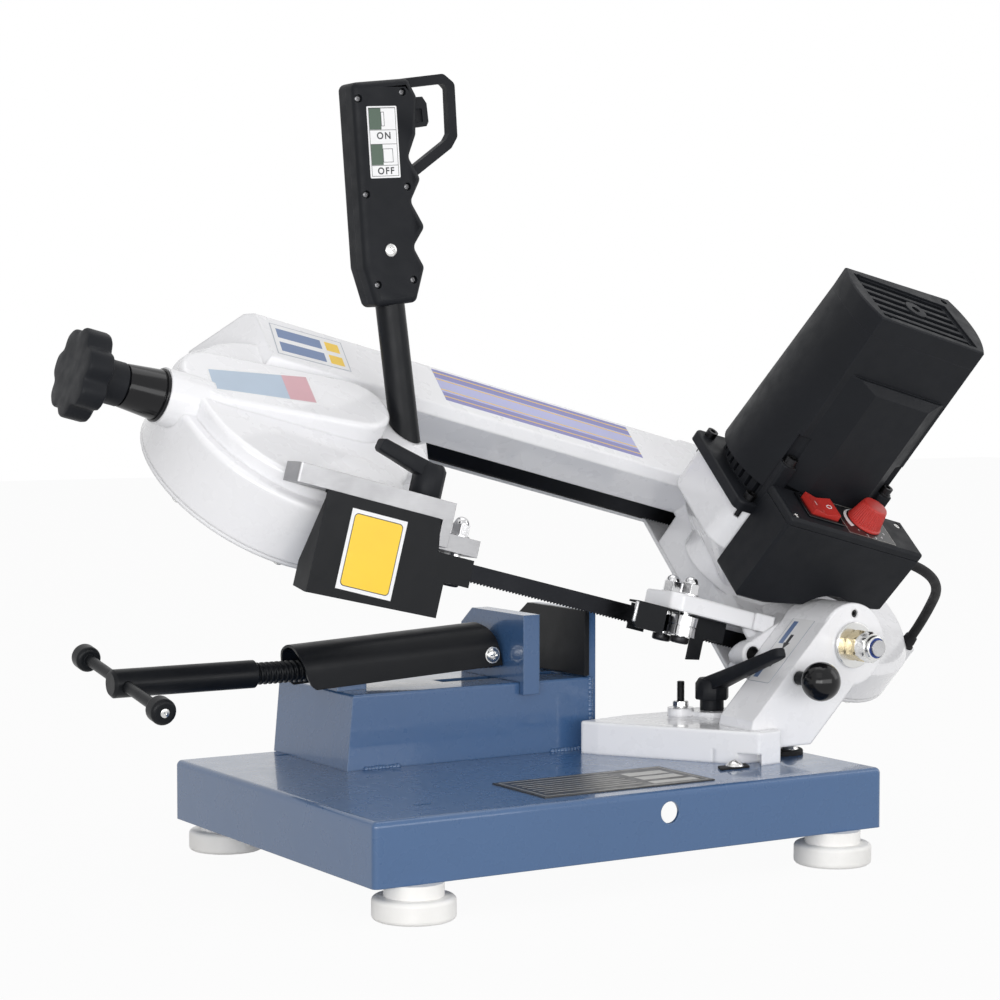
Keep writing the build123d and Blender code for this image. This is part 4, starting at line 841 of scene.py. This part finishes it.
def control_box():
    groove = frame_mesh(rectangle(335, 490, -99, -44), rectangle(346.7, 475.1, -85.2, -43), -6.6, -6.0)
    cutters = [(groove, BOX_FACE)]
    for at in BOX_SCREWS:
        cutters.append((prisms([circle_points(3.3, 32)], -1.3, 5), box_part(at)))
    carved("box_shell", "control_box", "bow", cutters)
    for i, at in enumerate(BOX_SCREWS):
        cross_head(f"box_screw_{i}", box_part(at, -1.3), 3.0, 1.1, "bow")
    bezel = frame_mesh(rounded_rectangle(-17.5, 17.5, -15, 15, 2),
                       rounded_rectangle(-13.8, 13.8, -11.3, 11.3, 1), 0, 1.6)
    round_edges(bezel, 0.5)
    piece("rocker_bezel", bezel, box_part(ROCKER_AT), BLACK_GLOSS, "bow")
    ring = ring_mesh([(1.7, 0), (2.3, 0), (2.3, 0.12), (1.7, 0.12)], 32)
    bar = prisms([rectangle(-0.35, 0.35, -2.3, 2.3)], 0, 0.12)
    for name, mark, side in (("rocker_mark_o", ring, 1), ("rocker_mark_i", bar, -1)):
        at = turned(box_part(ROCKER_AT), (side * 6.5, 0, 4.86), (-0.204 * side, 0, 0.979), (1, 0, 0.2 * side))
        piece(name, mark, at, FILM_WHITE, "rocker")


def dial():
    place = box_part(KNOB_AT)
    film = rounded_rectangle(-24, 22, -19.5, 16, 1)
    piece("dial_film", prisms([film], 0, 0.1), place, FILM_BLACK, "bow")
    edge = outline(-24, 22, -19.5, 16, 0.3)
    piece("dial_edge", prisms(edge, 0.05, 0.14), place, RULED, "bow")
    count = 24
    turns = [math.radians(112 + 98 * i / (count - 1)) for i in range(count)]
    inner = [(15.2 * math.cos(t), 15.2 * math.sin(t)) for t in turns]
    outer = [((15.6 + 4.6 * i / count) * math.cos(t), (15.6 + 4.6 * i / count) * math.sin(t))
             for i, t in enumerate(turns)]
    loops = [[(*low, 0.08), (*high, 0.08), (*high, 0.16), (*low, 0.16)] for low, high in zip(inner, outer)]
    piece("dial_wedge", solid_mesh(loops), place, FILM_WHITE, "bow")
    for i in range(5):
        turn = math.radians(228 + 26 * i)
        at = moved(place, (17.6 * math.cos(turn), 17.6 * math.sin(turn), 0.1))
        lettering(f"dial_number_{i + 1}", str(i + 1), 3.4, at, FILM_WHITE, "bow")


def speed_knob():
    ribs = 40
    count = 4 * ribs
    rows = [(12.0, 0.4, 0), (14.1, 0.4, 0), (14.1, 1.5, 0), (13.5, 2.1, 0), (13.2, 2.4, 0.55),
            (12.2, 7.0, 0.55), (10.3, 15.6, 0.5), (10.0, 16.4, 0), (9.3, 17.2, 0),
            (8.2, 17.4, 0), (4.0, 17.2, 0)]
    loops = []
    for radius, z, depth in rows:
        loops.append(uneven_ring([radius - (depth if k % 4 in (2, 3) else 0) for k in range(count)], z))
    obj = piece("ribbed_knob", solid_mesh(loops), box_part(KNOB_AT), RED, "speed_knob", 30.0)
    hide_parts("speed_knob")


control_box()
dial()
speed_knob()


# Lead from the control box into the drive housing

LEAD_POINTS = [(475.0, -63.0, 98.5), (528.0, -63.0, 98.5), (577.8, -25.9, 30.0), (577.8, -25.9, 4.0)]
LEAD_R = 4.0
RELIEF = [(6.4, 0), (6.4, 1.5), (5.6, 2), (5.3, 4), (5.6, 4.4), (5.2, 7), (5.0, 9.5), (4.3, 10)]


def lead():
    points = [WHEELS @ Vector(point) for point in LEAD_POINTS]
    data = bpy.data.curves.new("lead_cord", "CURVE")
    data.dimensions = "3D"
    data.bevel_depth = LEAD_R / 1000
    data.bevel_resolution = 6
    data.use_fill_caps = True
    spline = data.splines.new("NURBS")
    spline.points.add(len(points) - 1)
    for target, point in zip(spline.points, points):
        target.co = (*point, 1.0)
    spline.order_u = 3
    spline.use_endpoint_u = True
    spline.resolution_u = 24
    data.materials.append(RUBBER)
    cord = new_object("lead_cord", data)
    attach(cord, "bow")
    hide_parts("lead")
    for name, at, z_dir in (("lead_relief_box", (476, -63, 98.5), (1, 0, 0)),
                            ("lead_relief_gland", (577.8, -25.9, 4), (0, 0, 1))):
        place = turned(WHEELS, at, z_dir, (0, 1, 0))
        piece(name, lathe_mesh(RELIEF), place, RUBBER, "bow")


lead()


# Plain labels and stripes

RAMP_RISE = math.atan2(71.5, 70.5)
RAMP = turned(GROUND, (139, -88, 98), (-math.sin(RAMP_RISE), 0, math.cos(RAMP_RISE)),
              (math.cos(RAMP_RISE), 0, math.sin(RAMP_RISE)))
PAD = turned(WHEELS, (-12, 15, 52), (-math.sin(math.radians(5)), 0, math.cos(math.radians(5))), (1, 0, 0))
SPINE_FACE = moved(WHEELS, (0, 0, 50))
GUARD_FACE = facing(SIDE, (0, -64, 0))

# Heights of the films that lie on each other
LOW_FILM = (0.0, 0.15)
MID_FILM = (0.1, 0.2)
STRIPE_FILM = (0.1, 0.18)
LINE_FILM = (0.12, 0.22)
TOP_FILM = (0.15, 0.24)
STRIPE_A0 = 138.0
STRIPE_A1 = 321.0
RIDGE_BANDS = [("blue", FILM_BLUE, 0.07, 0.68), ("yellow", FILM_YELLOW, 0.74, 0.93)]


def stripe(low, high):
    """Band along the decal of the spine."""
    return rectangle(STRIPE_A0, STRIPE_A1, low, high)


def label(name, place, corners, material, body, layer=LOW_FILM):
    piece(name, prisms([corners], *layer), place, material, body)


def shrunk(corners, step):
    """Corners moved towards the middle of the shape along both axes."""
    cx = sum(x for x, y in corners) / len(corners)
    cy = sum(y for x, y in corners) / len(corners)
    return [(x - math.copysign(step, x - cx), y - math.copysign(step, y - cy)) for x, y in corners]


def part_of(corners, s0, s1, t0, t1):
    """Smaller four-sided shape inside four corners, by shares along and across."""
    first, second, third, fourth = (Vector(corner) for corner in corners)
    return [first.lerp(second, s).lerp(fourth.lerp(third, s), t)
            for s, t in ((s0, t0), (s1, t0), (s1, t1), (s0, t1))]


def labels():
    pad = [(-62, -20), (20, -13), (20, 21), (-61, 6)]
    label("pad_label", PAD, pad, FILM_WHITE, "bow")
    label("pad_field", PAD, shrunk(pad, 1.6), FILM_SKY, "bow", MID_FILM)
    label("pad_end", PAD, part_of(shrunk(pad, 1.6), 0.74, 1.0, 0, 1), FILM_PINK, "bow", TOP_FILM)
    ridge = [(-6, 64), (56, 68), (58, 106), (-3, 104)]
    label("ridge_edge", SPINE_FACE, ridge, FILM_GREY, "bow")
    label("ridge_label", SPINE_FACE, shrunk(ridge, 0.8), FILM_WHITE, "bow", MID_FILM)
    for i, (low, high) in enumerate(((0.12, 0.42), (0.56, 0.86))):
        for color, film, first, last in RIDGE_BANDS:
            band = part_of(ridge, first, last, low, high)
            label(f"ridge_{color}_{i}", SPINE_FACE, band, film, "bow", TOP_FILM)
    label("stripe_field", SPINE_FACE, stripe(68, 108.5), FILM_LAVENDER, "bow")
    label("stripe_low", SPINE_FACE, stripe(68, 79), FILM_VIOLET, "bow", STRIPE_FILM)
    label("stripe_high", SPINE_FACE, stripe(97.5, 108.5), FILM_VIOLET, "bow", STRIPE_FILM)
    for i, y in enumerate((72.5, 81.5, 95.0, 103.5)):
        label(f"stripe_line_{i}", SPINE_FACE, stripe(y, y + 1.0), FILM_YELLOW, "bow", LINE_FILM)
    guard = rectangle(-421.5, -378.5, -48, 6.2)
    label("guard_label", GUARD_FACE, guard, FILM_WHITE, "guide_arm")
    border = rounded_rectangle(-419, -381, -45.5, 3.7, 3)
    label("guard_frame", GUARD_FACE, border, INK, "guide_arm", STRIPE_FILM)
    field = rounded_rectangle(-418.4, -381.6, -44.9, 3.1, 2.6)
    label("guard_field", GUARD_FACE, field, FILM_YELLOW, "guide_arm", TOP_FILM)
    label("post_edge", RAMP, rounded_rectangle(34, 96, 12.6, 38, 2), FILM_GREY, "swivel")
    post = rounded_rectangle(34.6, 95.4, 13.2, 37.4, 1.6)
    label("post_label", RAMP, post, FILM_WHITE, "swivel", STRIPE_FILM)
    label("post_bar_high", RAMP, rectangle(71, 92.5, 29.5, 34.5), FILM_BLUE, "swivel", TOP_FILM)
    label("post_bar_low", RAMP, rectangle(38, 52, 29.5, 34.5), FILM_BLUE, "swivel", TOP_FILM)
    arrows = [[(66, 25.5), (72, 22), (72, 29)], rectangle(72, 80, 23.8, 27.2),
              [(63, 25.5), (57, 29), (57, 22)], rectangle(49, 57, 23.8, 27.2)]
    piece("post_arrows", prisms(arrows, *TOP_FILM), RAMP, INK, "swivel")


def rating_plate():
    place = moved(GROUND, (0, 0, 67.8))
    lines = outline(-65, 69, -129, -68, 0.8)
    lines += [rectangle(-60, 20, y, y + 1.0) for y in (-77, -84, -91, -98, -105, -112, -119)]
    piece("plate_rules", prisms(lines, 0, 0.08), place, RULED, "base")
    fields = [rectangle(28, 62, y, y + 12) for y in (-92, -109)] + [rectangle(26, 64, -125, -116)]
    piece("plate_fields", prisms(fields, 0, 0.08), place, RULED, "base")


labels()
rating_plate()


# Small pieces: black strip over the lower wall of the spine, screw of the vise guard, rivets of the bar and stop
# stud

RIVET = [(3.3, 0), (3.2, 0.5), (2.4, 0.9), (1.0, 1.0), (0.8, 0.6), (0.1, 0.5)]
RIVET_OUT = 71.7


def spine_strip():
    place = turned(WHEELS, (0, 0, 0), (1, 0, 0), (0, 1, 0))
    # Black rubber strip laid over the lower slanted wall of the spine, which makes that wall dark
    section = [(83.2, 3.9), (91.2, -16.0), (92.0, -15.7), (84.0, 4.1)]
    piece("spine_black_strip", prisms([section], 100, 372), place, RUBBER, "bow")


def guard_screw():
    place = turned(GROUND, (6, 55, 140), (0, -1, 0), (1, 0.5, 0))
    cross_head("guard_screw", place, 5.2, 2.8, "vise_jaw")
    washer = ring_mesh([(3.0, 0), (6.2, 0), (6.2, 0.7), (3.0, 0.7)])
    piece("guard_washer", washer, place, ZINC, "vise_jaw")


def bar_rivets():
    tilt = math.radians(BAR_TILT)
    along = Vector((0, math.cos(tilt), math.sin(tilt)))
    for i, side in enumerate((-1, 1)):
        at = Vector((BAR_X, SCREW_Y, SCREW_Z)) + along * side * RIVET_OUT
        place = turned(GROUND, at, along * side, (1, 0, 0))
        piece(f"bar_rivet_{i}", lathe_mesh(RIVET), place, ZINC, "tommy_bar")


def stop_stud():
    place = moved(GROUND, (142, 5, 0))
    count = 24
    loops = turned_loops([(2.6, 78.5), (2.9, 96)], count)
    for i in range(1, 84):
        z = 96 + i * 0.25
        radii = [2.75 + 0.22 * math.cos(2 * math.pi * (z - k / count)) for k in range(count)]
        loops.append(uneven_ring(radii, z))
    loops += turned_loops([(2.3, 117.0)], count)
    stud = piece("stop_stud", solid_mesh(loops), place, DARK_STEEL, "swivel")
    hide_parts("down_stop")
    piece("stop_nut", hex_nut(97.1, 102.1, 10.2, 3.05, 0.7), place, ZINC, "swivel", 25.0)


# Clamp levers of the guide and of the mitre swivel

GUIDE_HUB = (-360.0, -46.0)
GUIDE_HUB_R = 11.4
GUIDE_HUB_Z = (27.3, 28.4, 46.5, 50.0)
GUIDE_STEM_R = 4.0
GUIDE_STEM_Z = (-5.0, 29.0)
GUIDE_ARM_Z = 44.0
GUIDE_ARM_RISE = 13.0
GUIDE_ARM = ((0, 13, 12), (30, 11, 10), (42, 10.5, 9.5), (44, 8.5, 7.5))
MITRE_HUB = (163.0, -6.0)
MITRE_HUB_R = 12.9
MITRE_HUB_Z = (103.2, 104.4, 115.6, 119.1)
MITRE_STEM_R = 9.0
MITRE_STEM_Z = (95.2, 104.0)
MITRE_ARM_Z = 114.2
MITRE_ARM_RISE = 20.5
MITRE_ARM_TURN = -92.0
MITRE_ARM = ((0, 15, 12), (40, 11.5, 10), (88, 9.5, 8.5), (92.5, 8.5, 7.5), (94, 6, 5.5))


def around(centre, points):
    return [(centre[0] + x, centre[1] + y) for x, y in points]


def faceted_hub(centre, radius, heights):
    """Eight-sided hub, chamfered at the top."""
    profile = zip((radius - 0.6, radius, radius, radius - 2.4), heights)
    return solid_mesh([[(x, y, z) for x, y in around(centre, circle_points(r, 8, math.pi / 8))]
                       for r, z in profile])


def tapered_arm(sections):
    """Flat-sided arm along the frame's z axis, from rows of distance, width and height."""
    loops = []
    for far, wide, high in sections:
        section = rounded_rectangle(-wide / 2, wide / 2, -high / 2, high / 2, 1.6, 3)
        loops.append([(x, y, far) for x, y in section])
    return solid_mesh(loops)


def guide_lever():
    bm = faceted_hub(GUIDE_HUB, GUIDE_HUB_R, GUIDE_HUB_Z)
    add_prism(bm, around(GUIDE_HUB, circle_points(GUIDE_STEM_R, 24)), *GUIDE_STEM_Z)
    hub = piece("guide_lever_hub", bm, SIDE, BLACK_PLASTIC, "guide_lever")
    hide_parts("guide_lever")
    rise = math.radians(GUIDE_ARM_RISE)
    place = turned(SIDE, (*GUIDE_HUB, GUIDE_ARM_Z), (-math.cos(rise), 0, math.sin(rise)), (0, 1, 0))
    piece("guide_lever_arm", tapered_arm(GUIDE_ARM), place, BLACK_PLASTIC, "guide_lever")


def mitre_lever():
    bm = faceted_hub(MITRE_HUB, MITRE_HUB_R, MITRE_HUB_Z)
    add_prism(bm, around(MITRE_HUB, circle_points(MITRE_STEM_R, 32)), *MITRE_STEM_Z)
    hub = piece("mitre_lever_hub", bm, GROUND, BLACK_PLASTIC, "mitre_lever")
    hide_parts("mitre_lever")
    turn = math.radians(MITRE_ARM_TURN)
    rise = math.radians(MITRE_ARM_RISE)
    level = Vector((math.cos(turn), math.sin(turn), 0))
    aim = level * math.cos(rise) + Z_AXIS * math.sin(rise)
    place = turned(GROUND, (*MITRE_HUB, MITRE_ARM_Z), aim, (level.y, -level.x, 0))
    piece("mitre_lever_arm", tapered_arm(MITRE_ARM), place, BLACK_PLASTIC, "mitre_lever")


# Black lining with painted shade in the lock socket, black plug of the pivot, pin heads and sheet guard of the
# rear guide

LOCK_SOCKET = facing(SIDE, (-49.77, -30.2, -22.02))
GREASE_PORT = facing(GROUND, (233, -79, 171))
PIN_HEAD = [(6.9, 0), (7.0, 0.5), (7.0, 3.6), (6.5, 4.5), (5.2, 4.9), (2.8, 4.95), (2.6, 4.3), (0.1, 4.3)]
PIN_HEAD_DROP = 7.95
CHANNEL_LOW = -23.5
CHANNEL_TOP = -4.0
CHANNEL_MOUTH = -51.0
CHANNEL_END = -24.0
CHANNEL_NEAR = 35.0
SHEET = 1.5
TABLE_EDGE = -12.0
SKIRT = [(12, -4), (42, -4), (42, -19), (24, -19), (24, -35), (12, -37)]
SKIRT_NEAR = 21.0
FAR_SIDE = -6.0
FAR_LENGTH = 15.0
ROOF_DEPTH = 10.0
ROOF_END = 8.0
HEM = [(0.6, 0), (1.2, 0.3), (1.4, 0.8), (1.4, 14.6), (1.2, 15.2), (0.6, 15.4)]


def socket_shade_and_plug():
    # Black lining inside the lock socket: painted shade that stands for the shade of the hole
    shade_lining = [(5.95, 0), (5.95, 6.8), (5.3, 6.8), (5.3, 0.8), (0.2, 0.8)]
    piece("lock_socket_painted_shade", lathe_mesh(shade_lining), LOCK_SOCKET, FILM_BLACK, "bow")
    plug = [(2.9, 0), (2.9, 7.6), (1.6, 7.6), (1.4, 5.0), (0.1, 5.0)]
    piece("pivot_plug", lathe_mesh(plug), GREASE_PORT, FILM_BLACK, "swivel")


def pin_heads():
    """Button heads under the rollers."""
    for roller in ROLLERS:
        at = SIDE.inverted() @ joint_at(f"{roller}_spin") - Vector((0, 0, PIN_HEAD_DROP))
        body = "guide_arm" if roller.startswith("front") else "bow"
        place = turned(SIDE, at, (0, 0, -1), (1, 0, 0))
        piece(f"{roller}_head", lathe_mesh(PIN_HEAD), place, DARK_STEEL, body)


def rear_guard():
    """Bent sheet around the blade at the rear guide, with a bare edge at its mouth."""
    rear_u = (SIDE.inverted() @ joint_at("rear_roller_a_spin")).x
    from_side = facing(SIDE, (rear_u, 0, 0))
    near = [(CHANNEL_MOUTH, CHANNEL_TOP), *arc_points((CHANNEL_MOUTH + 4, CHANNEL_LOW + 4), 4, 180, 270, 6),
            (CHANNEL_END, CHANNEL_LOW), (CHANNEL_END, CHANNEL_TOP)]
    roof = CHANNEL_TOP - SHEET
    roof_far = CHANNEL_NEAR - ROOF_DEPTH
    bm = bmesh.new()
    add_prism(bm, near, CHANNEL_NEAR, CHANNEL_NEAR + SHEET)
    add_prism(bm, rectangle(CHANNEL_MOUTH, TABLE_EDGE, roof, CHANNEL_TOP), roof_far, CHANNEL_NEAR)
    add_prism(bm, rectangle(TABLE_EDGE - ROOF_END, TABLE_EDGE, roof, CHANNEL_TOP), FAR_SIDE, roof_far)
    far = rectangle(TABLE_EDGE - FAR_LENGTH, TABLE_EDGE, CHANNEL_LOW, CHANNEL_TOP)
    add_prism(bm, far, FAR_SIDE, FAR_SIDE + SHEET)
    add_prism(bm, SKIRT, SKIRT_NEAR, SKIRT_NEAR + SHEET)
    add_prism(bm, rectangle(SKIRT[0][0], SKIRT[3][0], roof, CHANNEL_TOP), FAR_SIDE, SKIRT_NEAR)
    obj = piece("rear_guard", bm, from_side, BLACK_STEEL, "bow")
    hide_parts("rear_guide_guard")
    mouth = (rear_u + CHANNEL_MOUTH, -CHANNEL_NEAR - SHEET / 2, CHANNEL_LOW + 3.5)
    piece("channel_hem", lathe_mesh(HEM), moved(SIDE, mouth), STEEL, "bow")


spine_strip()
guard_screw()
bar_rivets()
stop_stud()
socket_shade_and_plug()
pin_heads()
rear_guard()
guide_lever()
mitre_lever()


# Stage

def light(name, at, size, power, aim=(0.0, 0.0, 0.25)):
    lamp = bpy.data.lights.new(name, "AREA")
    lamp.shape = "RECTANGLE"
    lamp.size = size[0]
    lamp.size_y = size[1]
    lamp.energy = power
    obj = new_object(name, lamp)
    obj.location = at
    obj.rotation_euler = (Vector(aim) - Vector(at)).to_track_quat("-Z", "Y").to_euler()


def backdrop_white(material, strength):
    """Share of white that is seen by the camera, by mirrors and through glass, and by no other rays."""
    path = node_of(material, "ShaderNodeLightPath")
    first = node_of(material, "ShaderNodeMath", operation="MAXIMUM")
    both = node_of(material, "ShaderNodeMath", operation="MAXIMUM")
    link(material, path, "Is Camera Ray", first, 0)
    link(material, path, "Is Glossy Ray", first, 1)
    link(material, first, "Value", both, 0)
    link(material, path, "Is Transmission Ray", both, 1)
    share = node_of(material, "ShaderNodeMath", operation="MULTIPLY")
    link(material, both, "Value", share, 0)
    share.inputs[1].default_value = strength
    return share


def mix_shaders(material, share, plain, glow, output):
    """Plain shader that gives way to the glow by the share."""
    mix = node_of(material, "ShaderNodeMixShader")
    link(material, share, "Value", mix, 0)
    link(material, plain, 0, mix, 1)
    link(material, glow, 0, mix, 2)
    link(material, mix, 0, material.node_tree.nodes[output], "Surface")


def floor_material():
    material = shader("pale floor", (0.50, 0.50, 0.50), 0.9, specular=0.1)
    share = backdrop_white(material, 0.955)
    glow = node_of(material, "ShaderNodeEmission", Color=(1, 1, 1, 1), Strength=1.0)
    mix_shaders(material, share, material.node_tree.nodes["Principled BSDF"], glow, "Material Output")
    return material


def build_stage():
    scene = bpy.context.scene
    scene.view_settings.view_transform = "Standard"
    bpy.ops.mesh.primitive_plane_add(size=12.0)
    floor = bpy.context.object
    floor.name = "floor"
    floor.data.materials.append(floor_material())
    world = bpy.data.worlds.new("studio")
    scene.world = world
    world.use_nodes = True
    share = backdrop_white(world, 1.0)
    soft = world.node_tree.nodes["Background"]
    soft.inputs["Color"].default_value = (1, 1, 1, 1)
    soft.inputs["Strength"].default_value = 0.50
    white = node_of(world, "ShaderNodeBackground", Color=(1, 1, 1, 1), Strength=1.0)
    mix_shaders(world, share, soft, white, "World Output")
    light("key softbox", (-1.3, -1.2, 1.9), (1.4, 1.4), 3.0)
    light("top softbox", (0.3, 0.2, 2.2), (1.6, 1.2), 8.0)
    light("left softbox", (-1.7, -1.7, 0.35), (1.6, 0.7), 20.0, (0.1, 0.0, 0.15))
    light("right softbox", (1.9, -0.9, 1.1), (1.0, 1.4), 7.0)
    light("front softbox", (-0.1, -2.4, 0.40), (3.0, 0.9), 24.0, (0.1, 0.0, 0.15))


def build_camera():
    data = bpy.data.cameras.new("camera")
    data.lens = LENS_MM
    data.sensor_width = SENSOR_MM
    camera = new_object("camera", data)
    turn = Matrix((CAMERA_RIGHT, CAMERA_UP, CAMERA_BACK)).transposed().to_4x4()
    camera.matrix_world = Matrix.Translation(CAMERA_AT) @ turn
    bpy.context.scene.camera = camera


build_stage()
build_camera()


def corners(bounds):
    return [list(corner) for corner in bounds]
